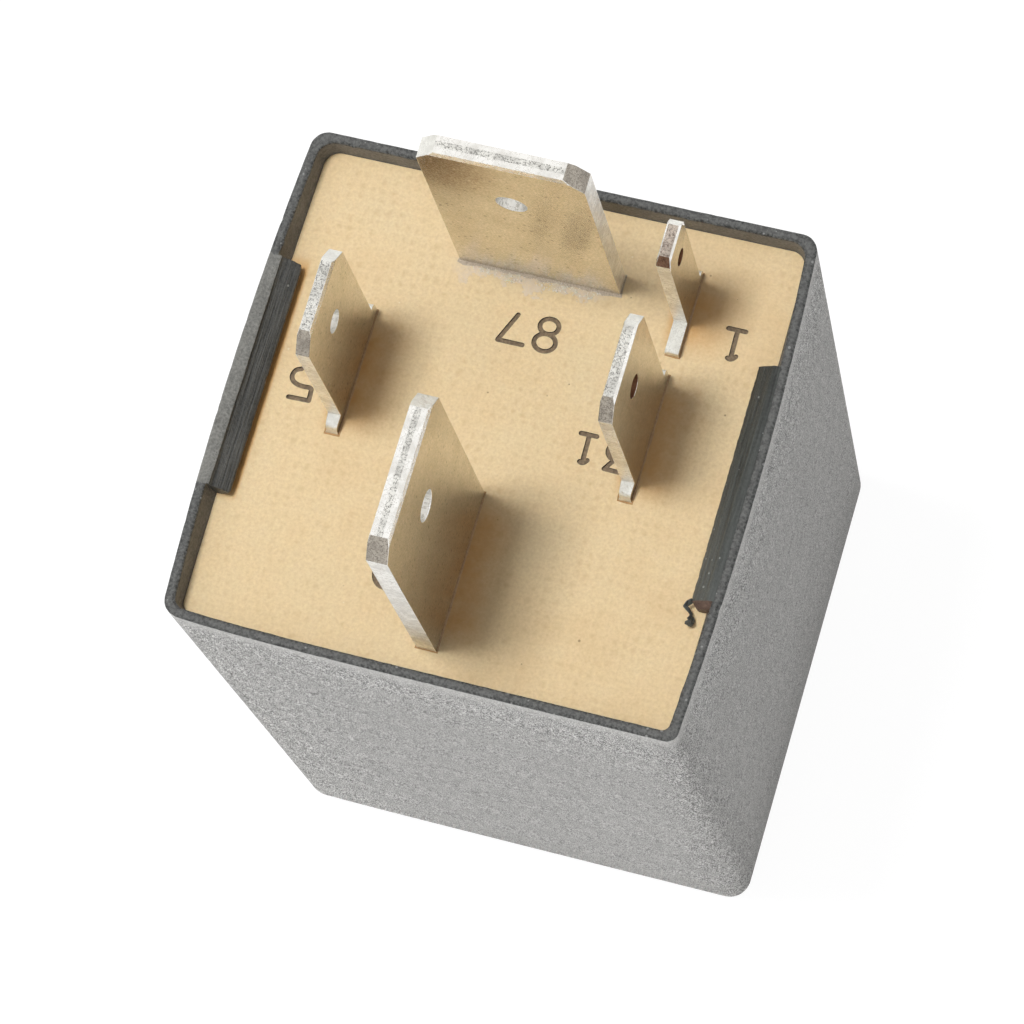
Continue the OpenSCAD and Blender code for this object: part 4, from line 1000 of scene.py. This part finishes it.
# Numbers on the board


def arc(cx, cy, rx, ry, start, end, steps=28):
    angles = [math.radians(start + (end - start) * k / steps) for k in range(steps + 1)]
    return [(cx + rx * math.cos(a), cy + ry * math.sin(a)) for a in angles]


def flowing(*points):
    """A smooth line through points."""
    path = [Vector(p) for p in (points[0], *points, points[-1])]
    line = []
    for k in range(1, len(path) - 2):
        a, b, c, d = path[k - 1:k + 3]
        for t in (0.0, 0.2, 0.4, 0.6, 0.8):
            line.append(tuple(0.5 * (2 * b + (c - a) * t + (2 * a - 5 * b + 4 * c - d) * t * t
                                     + (3 * b - a - 3 * c + d) * t ** 3)))
    return line + [tuple(points[-1])]


# Each figure in a box one unit wide and high, as its strokes
FIGURES = {
    "0": [arc(0.5, 0.5, 0.5, 0.5, 90, 450)],
    "1": [[(0.0, 0.0), (1.0, 0.0)], [(0.46, 0.02), (0.42, 0.97)],
          flowing((0.16, 0.86), (0.3, 0.95), (0.46, 0.98), (0.6, 0.95))],
    "3": [[(0.12, 1.0), (0.93, 0.98)], [(0.93, 0.98), (0.66, 0.62)],
          flowing((0.66, 0.62), (0.88, 0.52), (0.98, 0.33), (0.88, 0.1), (0.6, 0.0), (0.3, 0.03),
                  (0.08, 0.16))],
    "5": [[(0.88, 1.0), (0.06, 0.98)], [(0.06, 0.98), (0.09, 0.6)],
          flowing((0.09, 0.6), (0.2, 0.56), (0.44, 0.565), (0.68, 0.54), (0.88, 0.46),
                  (0.98, 0.34), (0.98, 0.2), (0.9, 0.08), (0.7, 0.0))],
    "7": [[(0.0, 1.0), (1.0, 1.0)], [(1.0, 0.98), (0.5, 0.0)]],
    "8": [arc(0.5, 0.735, 0.5, 0.265, 0, 360), arc(0.5, 0.232, 0.44, 0.236, 0, 360)],
}

# The numbers on the board, turned half round as on the real one: figure, then its lowest and
# highest X and Y
FIGURE_PLACES = [
    ("8", 0.6, 1.84, 5.14, 7.09), ("7", -1.43, 0.02, 5.23, 6.92),
    ("5", -12.25, -10.78, -0.78, 1.0), ("1", -10.15, -9.35, -0.78, 1.0),
    ("3", 6.44, 7.95, -0.78, 0.9), ("1", 4.72, 5.64, -0.74, 0.97),
    ("1", 11.07, 12.08, 7.04, 8.84),
    ("3", -2.5, -1.0, -10.32, -8.6), ("0", -4.26, -2.85, -10.28, -8.6),
]


def stroke_rows(points):
    """Centre, direction and half width at each step along a stroke, with round ends."""
    closed = math.dist(points[0], points[-1]) < 0.01
    path = [Vector(p) for p in (points[:-1] if closed else points)]
    count, half = len(path), STROKE_W / 2
    rows = []
    for k, point in enumerate(path):
        ahead = (k + 1) % count if closed else min(k + 1, count - 1)
        behind = k - 1 if closed else max(k - 1, 0)
        rows.append((point, (path[ahead] - path[behind]).normalized(), half))
    if closed:
        return rows, True
    turns = [math.radians(a) for a in (25, 50, 75)]
    (start, out, _), (end, away, _) = rows[0], rows[-1]
    head = [(start - out * half * math.sin(a), out, half * math.cos(a)) for a in reversed(turns)]
    tail = [(end + away * half * math.sin(a), away, half * math.cos(a)) for a in turns]
    return head + rows + tail, False


def stroke_solid(stroke, z0, z1, start):
    """A bar of rectangular section along a flat stroke, as points and faces."""
    rows, closed = stroke_rows(stroke)
    corners = []
    for centre, along, half in rows:
        side = Vector((-along.y, along.x)) * half
        a, b = centre + side, centre - side
        corners += [(a.x, a.y, z0), (b.x, b.y, z0), (b.x, b.y, z1), (a.x, a.y, z1)]
    faces = tube_faces(len(rows), 4, closed, start)
    if not closed:
        last = start + len(corners)
        faces += [range(start + 3, start - 1, -1), range(last - 4, last)]
    return corners, faces


def figure_cutter():
    """One bar for each stroke of each figure, turned half round and set into the board."""
    points, faces = [], []
    for figure, x0, x1, y0, y1 in FIGURE_PLACES:
        for line in FIGURES[figure]:
            turned = [(x1 - u * (x1 - x0), y1 - v * (y1 - y0)) for u, v in line]
            corners, sides = stroke_solid(turned, BOARD_TOP - STROKE_DEPTH, BOARD_TOP + 0.3,
                                          len(points))
            points += corners
            faces += sides
    cutter = solid("strokes", points, faces)
    with edited(cutter) as edit:
        bmesh.ops.recalc_face_normals(edit, faces=edit.faces)
    return cutter


# Base board


def fit_edge(piece):
    """Gives the board the outline of the lip, with each corner's own radius."""
    flat_x, flat_y = BOARD_HIGH.x - BOARD_R, BOARD_HIGH.y - BOARD_R
    with edited(piece) as edit:
        long_edges = [edge for edge in edit.edges if edge.calc_length() > 20 * MM]
        bmesh.ops.subdivide_edges(edit, edges=long_edges, cuts=20, use_grid_fill=True)
        for vertex in edit.verts:
            x, y, z = vertex.co / MM
            if abs(x) < flat_x and abs(y) < BOARD_HIGH.y - 0.05:
                continue
            if abs(x) < BOARD_HIGH.x - 0.05 and abs(y) < flat_y:
                continue
            for (sx, sy), radius in zip(((1, 1), (-1, 1), (-1, -1), (1, -1)), LIP_R):
                dx, dy = x - sx * flat_x, y - sy * flat_y
                if dx * sx > -0.01 and dy * sy > -0.01:
                    x = sx * (BOARD_HIGH.x - radius) + dx * radius / BOARD_R
                    y = sy * (BOARD_HIGH.y - radius) + dy * radius / BOARD_R
            if abs(x) > flat_x:
                bow = EDGE_BOW * max(0.0, 1 - (y / BOARD_HIGH.y) ** 2)
                x += math.copysign(EDGE_HALF_X - BOARD_HIGH.x + bow, x)
            vertex.co = Vector(settled([(x, y, z)], None, EDGE_FRONT, 0.0)[0]) * MM


def make_board():
    """The board, its edge fitted to the lip, with the numbers cut into its top."""
    piece = merged_copy("base_board", "laminate_board")
    fit_edge(piece)
    bevelled(piece, 30)
    cutter = figure_cutter()
    modified(piece, "figure", "BOOLEAN", operation="DIFFERENCE", solver="EXACT", use_self=True,
             object=cutter)
    bpy.data.objects.remove(cutter)
    piece.data.materials.clear()
    piece.data.materials.append(laminate())
    piece.data.polygons.foreach_set("material_index", [0] * len(piece.data.polygons))
    shade(piece.data, 32, SMALL_FLAT)
    return piece


# Blades: finish of each kind of flat, with its light and dark colour, roughness, size of
# grain, cracks and depth, and the sides' sheared lines

FACE, BEVEL, TIP, CHAMFER, DARK_CHAMFER, SIDE, SHADED_HOLE = range(7)
BLADE_FINISHES = {
    BEVEL: ("tin_bevel", (252, 250, 245), (170, 164, 150), 0.26, 0.4, 0.35, 0.015),
    TIP: ("tin_tip", (244, 242, 235), (60, 54, 48), 0.3, 0.22, 1.0, 0.06),
    CHAMFER: ("tin_chamfer", (248, 247, 240), (168, 163, 152), 0.36, 0.24, 0.4, 0.04),
    DARK_CHAMFER: ("tin_dark_chamfer", (186, 178, 166), (72, 66, 60), 0.4, 0.2, 0.8, 0.06),
    SIDE: ("tin_side", (255, 254, 250), (156, 150, 138), 0.34, 0.3, 0.55, 0.06,
           (1.2, 1.2, 0.16)),
    # Hole walls that lie in shade: brass, painted darker as the shade in the hole
    SHADED_HOLE: ("brass_hole_shaded", (122, 86, 64), (70, 44, 34), 0.45, 0.3, 0.5, 0.04),
}
BROWN_FINISHES = {
    TIP: ("tin_brown_tip", (212, 198, 184), (66, 46, 36), 0.3, 0.22, 1.0, 0.07),
    DARK_CHAMFER: ("tin_brown_chamfer", (128, 98, 80), (48, 32, 28), 0.36, 0.2, 0.9, 0.06),
}


def blade_part(polygon, node, tip, middle):
    """Which finish a flat of a blade has, by where it faces and where it is."""
    blade, (low, high) = BLADES[node], BLADE_BASES[node]
    k, side = blade_axes(node)
    normal, centre = polygon.normal, polygon.center / MM
    if abs(normal[k]) > 0.97:
        return FACE
    from_hole = math.hypot(centre[side] - middle, centre.z - (tip - blade.drop))
    # A lit hole's wall is sheared tin; a hole in shade gets the painted shade
    if abs(normal[k]) < 0.1 and from_hole < blade.radius * 1.2:
        return SIDE if blade.bright else SHADED_HOLE
    if normal.z > 0.95:
        if centre.z < tip - 1:
            return CHAMFER
        return TIP if abs(centre[k] - (low[k] + high[k]) / 2) < CRACKED else BEVEL
    if abs(normal[k]) > 0.3 and abs(normal[side]) < 0.5:
        return BEVEL
    if normal.z > 0.3:
        facing = normal[side] if node == "terminal_87" else -normal[side]
        return DARK_CHAMFER if facing > 0 and centre.z > tip - 2 else CHAMFER
    return SIDE


def make_blades():
    """The five blades, with edges slightly rounded and a finish for every kind of flat."""
    face = tinned_face()
    finishes = {part: tinned_edge(*given) for part, given in BLADE_FINISHES.items()}
    brown = {part: tinned_edge(*given) for part, given in BROWN_FINISHES.items()}
    for node in BLADES:
        piece = merged_copy(node, node.replace("terminal", "blade"))
        used = {FACE: face, **finishes, **(brown if node == "terminal_1" else {})}
        for part in range(7):
            piece.data.materials.append(used[part])
        square_tip(piece, node)
        small_hole(piece, node)
        if node in ("terminal_15", "terminal_31"):
            taper_lug(piece, node)
        tip, middle = blade_tip(node), blade_middle(node)
        for polygon in piece.data.polygons:
            polygon.material_index = blade_part(polygon, node, tip, middle)
        bevelled(piece, 20)
        shade(piece.data, 28, SMALL_FLAT)
        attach(piece, "case")
        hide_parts(node)


def square_tip(piece, node):
    """Runs the end chamfers of a tip through its whole thickness, as sheared strip has them."""
    blade, top = BLADES[node], blade_tip(node)
    k, side = blade_axes(node)
    with edited(piece) as edit:
        upper = upper_points(node, edit.verts)
        ends = (min(v[side] for v in upper), max(v[side] for v in upper))
        sides = (min(v[k] for v in upper), max(v[k] for v in upper))
        middle, half = sum(sides) / 2, (sides[1] - sides[0]) / 2

        # A: outer corner at an end, B: its bevel's corner, C and D: the same along the tip
        found = {}
        for vertex in edit.verts:
            at = vertex.co / MM
            if at.z < top - blade.chamfer - 1.0:
                continue
            outer = abs(abs(at[k] - middle) - half) < 0.02
            if min(abs(at[side] - end) for end in ends) < 0.02:
                found[vertex] = "A" if outer else "B"
            elif at.z > top - 0.8:
                found[vertex] = "C" if outer else "D"
        for face in list(edit.faces):
            kinds = {found.get(v): v for v in face.verts}
            if len(face.verts) == 4 and set(kinds) == {"A", "B", "C", "D"}:
                bmesh.utils.face_split(face, kinds["B"], kinds["C"])
        for vertex, kind in found.items():
            at = vertex.co / MM
            out = 1 if at[k] > middle else -1
            first = abs(at[side] - ends[0]) < abs(at[side] - ends[1])
            end, way = (ends[0], 1) if first else (ends[1], -1)
            if kind == "B":
                at[k] = middle + out * half
            elif kind == "C":
                at[side] = end + way * (blade.chamfer - blade.rise)
                at.z = top - blade.rise
            elif kind == "D":
                at[k] = middle + out * blade.flat / 2
            vertex.co = at * MM
        simplify(edit)
        for way in (-1, 1):
            flats = [f for f in edit.faces if f.normal.z > 0.95
                     and f.calc_center_median().z > (top - 0.1) * MM]
            parts = set(flats) | {part for f in flats for part in (*f.edges, *f.verts)}
            place, facing = Vector((0, 0, 0)), Vector((0, 0, 0))
            place[k] = (middle + way * CRACKED * (0.9 if blade.flat > 0.6 else 0.5)) * MM
            facing[k] = 1.0
            bmesh.ops.bisect_plane(edit, geom=list(parts), plane_co=place, plane_no=facing)


def taper_lug(piece, node):
    """Tapers the lug that sticks out in front of a middle blade's foot."""
    low, high = BLADE_BASES[node]
    start = min(v.y for v in upper_points(node, piece.data.vertices))
    middle = (low.x + high.x) / 2
    for vertex in piece.data.vertices:
        x, y, z = vertex.co / MM
        if y < start - 0.1 and z > BOARD_TOP + 0.2:
            share = (start - y) / (start - low.y)
            vertex.co = Vector((middle + (x - middle) * (1 - LUG_NARROWER * share),
                                start - LUG_SHARE * (start - y), z - LUG_LOWER * share)) * MM


def small_hole(piece, node):
    """Draws the edge of a blade's hole in, as it is peened."""
    blade, side = BLADES[node], blade_axes(node)[1]
    middle, level = blade_middle(node), blade_tip(node) - blade.drop
    for vertex in piece.data.vertices:
        across, up = vertex.co[side] / MM - middle, vertex.co.z / MM - level
        if math.hypot(across, up) < blade.radius * 1.1:
            vertex.co[side] = (middle + across * HOLE_SHARE) * MM
            vertex.co.z = (level + up * HOLE_SHARE) * MM


# Resin and flux at the feet of the blades


def ring(name, low, high, seed, material, heap=1.0):
    """A thin fillet of resin around a blade, where it enters the board."""
    path = []
    corners = ((low.x, low.y, -1, -1), (high.x, low.y, 1, -1), (high.x, high.y, 1, 1),
               (low.x, high.y, -1, 1))
    for index, (x, y, dx, dy) in enumerate(corners):
        nx, ny = corners[(index + 1) % 4][:2]
        steps = max(3, round((abs(nx - x) + abs(ny - y)) / 0.25))
        path.append((x, y, dx, dy))
        level = (0, dy) if index % 2 == 0 else (dx, 0)
        path += [(x + (nx - x) * k / steps, y + (ny - y) * k / steps, *level)
                 for k in range(1, steps)]
    points = []
    for x, y, dx, dy in path:
        reach = 0.09 + 0.06 * wobble(x, y, seed, 0.6) + 0.03 * wobble(x, y, seed, 0.2)
        rise = 0.035 + 0.02 * wobble(y, x, seed, 0.5)
        if dy < 0 and heap > 1:
            reach *= heap + 1.8 * wobble(x, y, seed, 0.35)
            rise *= heap + 2 * wobble(x, y, seed, 0.5)
        for out, z in ((reach, -0.02), (reach * 0.45, rise * 0.6), (-0.02, rise), (-0.02, -0.3)):
            points.append((x + dx * out, y + dy * out, BOARD_TOP + z))
    return turned_out(solid(name, points, tube_faces(len(path), 4, True), None, (material,)), 60)


def make_seals():
    """Resin around every blade's foot."""
    resin = moulded("foot_resin", (196, 158, 108), (150, 108, 64), 0.3, 0.15)
    crust = moulded("flux_bead", (236, 222, 204), (168, 148, 124), 0.45, 0.07, 0.05)
    pieces = []
    for seed, (node, (low, high)) in enumerate(BLADE_BASES.items()):
        kind = (crust, 2.4) if node == "terminal_87" else (resin, 1.0)
        pieces.append(ring(node.replace("terminal", "resin"), low, high, seed * 3.1, *kind))
    return pieces


# Inputs of the geometry tree that scatters the grains
GRAIN_INPUTS = {"Per square metre": ("NodeSocketFloat", 6e7),
                "Size": ("NodeSocketFloat", 0.05 * MM), "Seed": ("NodeSocketInt", 4)}


def grain_tree():
    """Scatters small uneven grains over a patch."""
    tree = bpy.data.node_groups.new("flux_grains", "GeometryNodeTree")
    new_socket = tree.interface.new_socket
    new_socket("Patch", in_out="INPUT", socket_type="NodeSocketGeometry")
    for label, (kind, value) in GRAIN_INPUTS.items():
        new_socket(label, in_out="INPUT", socket_type=kind).default_value = value
    new_socket("Finish", in_out="INPUT", socket_type="NodeSocketMaterial")
    new_socket("Grains", in_out="OUTPUT", socket_type="NodeSocketGeometry")
    maker = Tree(tree)
    given = maker.add("NodeGroupInput").outputs
    scatter = maker.add("GeometryNodeDistributePointsOnFaces", {
        "Mesh": given["Patch"], "Density": given["Per square metre"], "Seed": given["Seed"]})
    ball = maker.add("GeometryNodeMeshIcoSphere", {"Radius": given["Size"], "Subdivisions": 1})
    sizes = maker.add("FunctionNodeRandomValue", {
        0: (0.4, 0.4, 0.25), 1: (1.8, 1.5, 0.8), "Seed": given["Seed"]}, data_type="FLOAT_VECTOR")
    turns = maker.add("FunctionNodeRandomValue", {0: (0.0, 0.0, 0.0), 1: (0.5, 0.5, 6.28)},
                      data_type="FLOAT_VECTOR")
    grains = maker.add("GeometryNodeInstanceOnPoints", {
        "Points": scatter.outputs["Points"], "Instance": ball.outputs["Mesh"],
        "Rotation": turns.outputs[0], "Scale": sizes.outputs[0]})
    real = maker.add("GeometryNodeRealizeInstances", {"Geometry": grains.outputs["Instances"]})
    finish = maker.add("GeometryNodeSetMaterial", {"Geometry": real.outputs["Geometry"],
                                                   "Material": given["Finish"]})
    maker.add("NodeGroupOutput", {"Grains": finish.outputs["Geometry"]})
    return tree


def make_flux():
    """A thin uneven patch along the foot of the blade at the back, covered in grains."""
    columns, rows = 60, 8
    low, high = BLADE_BASES["terminal_87"]
    x0, x1 = low.x + 0.3, high.x - 0.7
    points = []
    for c in range(columns + 1):
        x = x0 + (x1 - x0) * c / columns
        ends = min(1.0, (c + 1) / 10, (columns + 1 - c) / 8)
        reach = ends * (0.55 + 0.4 * wobble(x, 0, 0, 1.2, 3) + 0.15 * wobble(x, 0, 0, 0.4, 8))
        points += [(x, low.y - 0.02 - reach * r / rows, BOARD_TOP + 0.01)
                   for r in range(rows + 1)]
    step = rows + 1
    faces = [(c * step + r, (c + 1) * step + r, (c + 1) * step + r + 1, c * step + r + 1)
             for c in range(columns) for r in range(rows)]
    piece = solid("flux_crust", points, faces)
    modifier = piece.modifiers.new("grains", "NODES")
    modifier.node_group = grain_tree()
    values = {label: value for label, (_, value) in GRAIN_INPUTS.items()}
    values["Finish"] = crust_material()
    for item in modifier.node_group.interface.items_tree:
        if item.name in values:
            modifier[item.identifier] = values[item.name]
    return finished(piece)


# What is inside: finishes, with the light and dark colour, the roughness and the solids

METALS = (
    (("zinc_steel", (206, 206, 198), (172, 172, 160), 0.34), "yoke armature backstop"),
    (("soft_iron", (158, 154, 146), (128, 124, 116), 0.4), "core"),
    (("tinned_wire", (216, 214, 206), (190, 186, 176), 0.26),
     "coil_pins capacitor_leads chip_legs link_wire"),
    (("rivet_brass", (214, 186, 116), (190, 158, 90), 0.3), "armature_rivets leaf_rivets"),
    (("contact_silver", (232, 228, 218), (206, 200, 186), 0.24), "moving_contact fixed_contact"),
    (("solder", (204, 204, 200), (168, 168, 166), 0.24, 0.5, (0.4, 0.4, 0.4)),
     "base_solder board_solder"),
)
COATS = (
    (("black_epoxy", (38, 38, 40), (24, 24, 26), 0.46, 0.15), "timer_chip transistor"),
    (("coil_former", (44, 44, 48), (32, 32, 36), 0.5, 0.25), "bobbin"),
    (("polyester_tape", (214, 168, 62), (196, 146, 44), 0.3, 0.8), "coil_tape"),
    (("circuit_laminate", (134, 112, 58), (112, 92, 46), 0.45, 0.4), "circuit_board"),
    (("can_sleeve", (32, 46, 96), (24, 36, 80), 0.3, 0.9), "capacitor_can"),
    (("black_rubber", (34, 34, 34), (24, 24, 24), 0.7), "capacitor_seal"),
    (("red_dip", (150, 34, 26), (124, 24, 20), 0.26, 0.5), "film_capacitor"),
    (("ochre_dip", (196, 122, 52), (176, 102, 40), 0.3, 0.5),
     "ceramic_capacitor_1 ceramic_capacitor_2"),
)
BROWN, RED, ORANGE, GOLD = (92, 52, 30), (176, 36, 30), (222, 112, 34), (196, 156, 70)
CODES = ((BROWN, RED, ORANGE), (RED, RED, BROWN), (ORANGE, BROWN, RED))
STONE = ((198, 172, 128), (176, 148, 104), 0.4)
BLACK = ((30, 30, 31), (20, 20, 21), 0.42)
GLASS = ((198, 104, 46), (176, 84, 34), 0.15)


def inner_finishes():
    """A material for every solid that keeps its own mesh, by its name."""
    found = {"winding": wound_copper()}
    for make, table in ((plain_metal, METALS), (moulded, COATS)):
        for given, nodes in table:
            found.update(dict.fromkeys(nodes.split(), make(*given)))
    for number in range(1, 7):
        # The fifth resistor is a shorter one
        start, pitch, width, last = (-1.2, 0.6, 0.28, 0.9) if number == 5 else (
            -1.9, 0.95, 0.42, 1.4)
        bands = [(start + pitch * k, width, stripe) for k, stripe in enumerate(CODES[number % 3])]
        bands.append((last, 0.36, GOLD))
        node = f"resistor_{number}"
        found[node] = banded(node, f"resistor_coat_{number}", *STONE, bands)
    for number in (1, 2):
        node = f"diode_{number}"
        found[node] = banded(node, f"diode_body_{number}", *BLACK, [(1.5, 0.6, (200, 200, 196))])
    found["zener_diode"] = banded("zener_diode", "zener_body", *GLASS, [(1.0, 0.5, (26, 26, 26))])
    return found


def dress_inside():
    for node, material in inner_finishes().items():
        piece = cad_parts[node]
        if not piece.material_slots:
            piece.data.materials.append(material)
        for slot in piece.material_slots:
            slot.material = material


# Where the leaf is cut into short flats: the way the cuts face, the first, the end and the step
LEAF_CUTS = (((0, 0, 1), 12.4, 17.6, 0.25), ((0, 1, 0), -12.0, -7.0, 0.3))


def make_leaf():
    """The leaf spring between the yoke and the armature, cut into short flats."""
    piece = merged_copy("contact_leaf", "leaf_spring")
    with edited(piece) as edit:
        for facing, first, end, step in LEAF_CUTS:
            for place in np.arange(first, end, step):
                bmesh.ops.bisect_plane(edit, geom=edit.verts[:] + edit.edges[:] + edit.faces[:],
                                       plane_co=[c * place * MM for c in facing], plane_no=facing)
    bronze = plain_metal("spring_bronze", (206, 148, 92), (184, 122, 70), 0.3)
    piece.data.materials.append(bronze)
    shade(piece.data, 30)
    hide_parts("contact_leaf")
    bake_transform(piece)


# Camera, lamps and floor

EYE = Vector((58.8032, -71.5683, 274.4789))
LOOK = Vector((-0.22463262, 0.26683459, -0.93719768))
IMAGE_RIGHT = Vector((0.94889442, 0.27869205, -0.14808824))
FOCAL_PIXELS = 4548.6
IMAGE_PIXELS = 1024

# Soft lamps: direction from the board as turn and rise in degrees, width, watts. They are
# read from the shadows on the board: most light comes from high on the left.
LAMP_DISTANCE = 600
LAMPS = [
    ("key", 184, 75, 150, 2.5),
    ("left_fill", 218, 45, 520, 0.5),
    ("front_fill", 268, 5, 300, 1.3),
    ("right_fill", -10, 4, 300, 0.45),
]

# Light of the sky, then the paper: half its width, its height, its glow and the glow's share
AMBIENT = 0.25
FLOOR_HALF = 900
FLOOR_Z = -0.02
FLOOR_GLOW = 1.12
FLOOR_GLOW_SHARE = 0.84
WHITE = (255, 255, 255)


def make_camera():
    """The camera that took the photograph, as fitted to its edges."""
    data = bpy.data.cameras.new("photo_camera")
    data.sensor_width = 36
    data.lens = FOCAL_PIXELS * data.sensor_width / IMAGE_PIXELS
    data.clip_start = 0.01
    data.clip_end = 5
    camera = placed("photo_camera", data)
    back = -LOOK.normalized()
    right = (IMAGE_RIGHT - back * IMAGE_RIGHT.dot(back)).normalized()
    axes = Matrix((right, back.cross(right), back)).transposed().to_4x4()
    camera.matrix_world = Matrix.Translation(EYE * MM) @ axes
    bpy.context.scene.camera = camera


def make_lamp(name, turn, rise, width, watts):
    """A square soft lamp that faces the board from a direction."""
    data = bpy.data.lights.new(name, "AREA")
    data.size = width * MM
    data.energy = watts
    lamp = placed(name, data)
    turn, rise = math.radians(turn), math.radians(rise)
    away = Vector((math.cos(rise) * math.cos(turn), math.cos(rise) * math.sin(turn),
                   math.sin(rise)))
    lamp.location = (Vector((0, 0, BOARD_TOP)) + away * LAMP_DISTANCE) * MM
    lamp.visible_glossy = False
    lamp.rotation_mode = "QUATERNION"
    lamp.rotation_quaternion = (-away).to_track_quat("-Z", "Y")


def bare_tree(block):
    """An empty shader tree for the world or the floor, and what its rays see directly: 1 for
    the camera and for what metal or glass mirrors to it, 0 for the light on things."""
    block.use_nodes = True
    block.node_tree.nodes.clear()
    tree = Tree(block.node_tree)
    rays = tree.add("ShaderNodeLightPath").outputs
    mirrored = tree.math("MAXIMUM", rays["Is Glossy Ray"], rays["Is Transmission Ray"])
    first = tree.math("LESS_THAN", rays["Diffuse Depth"], 0.5)
    return tree, tree.math("MAXIMUM", rays["Is Camera Ray"], tree.times(mirrored, first))


def make_world():
    """Even light on the object, and white where the camera, metal or glass sees the sky."""
    world = bpy.data.worlds.new("studio")
    bpy.context.scene.world = world
    tree, seen = bare_tree(world)
    sky = tree.add("ShaderNodeBackground", {
        "Color": WHITE, "Strength": tree.spread(seen, 0.0, 1.0, AMBIENT, 1.0)})
    tree.add("ShaderNodeOutputWorld", {"Surface": sky.outputs[0]})


def make_floor():
    """White paper that glows for the camera, so that only the object's shadow shows on it."""
    corners = ((-1, -1), (1, -1), (1, 1), (-1, 1))
    piece = solid("floor", [(x * FLOOR_HALF, y * FLOOR_HALF, FLOOR_Z) for x, y in corners],
                  [(0, 1, 2, 3)])
    material = bpy.data.materials.new("floor_paper")
    tree, seen = bare_tree(material)
    paper = tree.add("ShaderNodeBsdfDiffuse", {"Color": (240, 240, 240)})
    glow = tree.add("ShaderNodeEmission", {"Color": WHITE, "Strength": FLOOR_GLOW})
    both = tree.add("ShaderNodeMixShader", (tree.times(seen, FLOOR_GLOW_SHARE),
                                            paper.outputs[0], glow.outputs[0]))
    tree.add("ShaderNodeOutputMaterial", {"Surface": both.outputs[0]})
    piece.data.materials.append(material)


def main():
    cover = make_cover()
    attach(cover, "case")
    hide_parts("cover")
    for hook in make_hooks(cover.data.materials[LIT_BAND]):
        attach(hook, "case")
    flash = make_flash(bpy.data.materials["hook_drawn_right"])
    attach(flash, "case")
    board = make_board()
    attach(board, "case")
    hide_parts("base_board")
    make_blades()
    for seal in make_seals():
        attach(seal, "case")
    flux = make_flux()
    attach(flux, "case")
    dress_inside()
    make_leaf()
    make_camera()
    for lamp in LAMPS:
        make_lamp(*lamp)
    make_world()
    make_floor()
    bpy.context.scene.view_settings.view_transform = "Standard"


main()
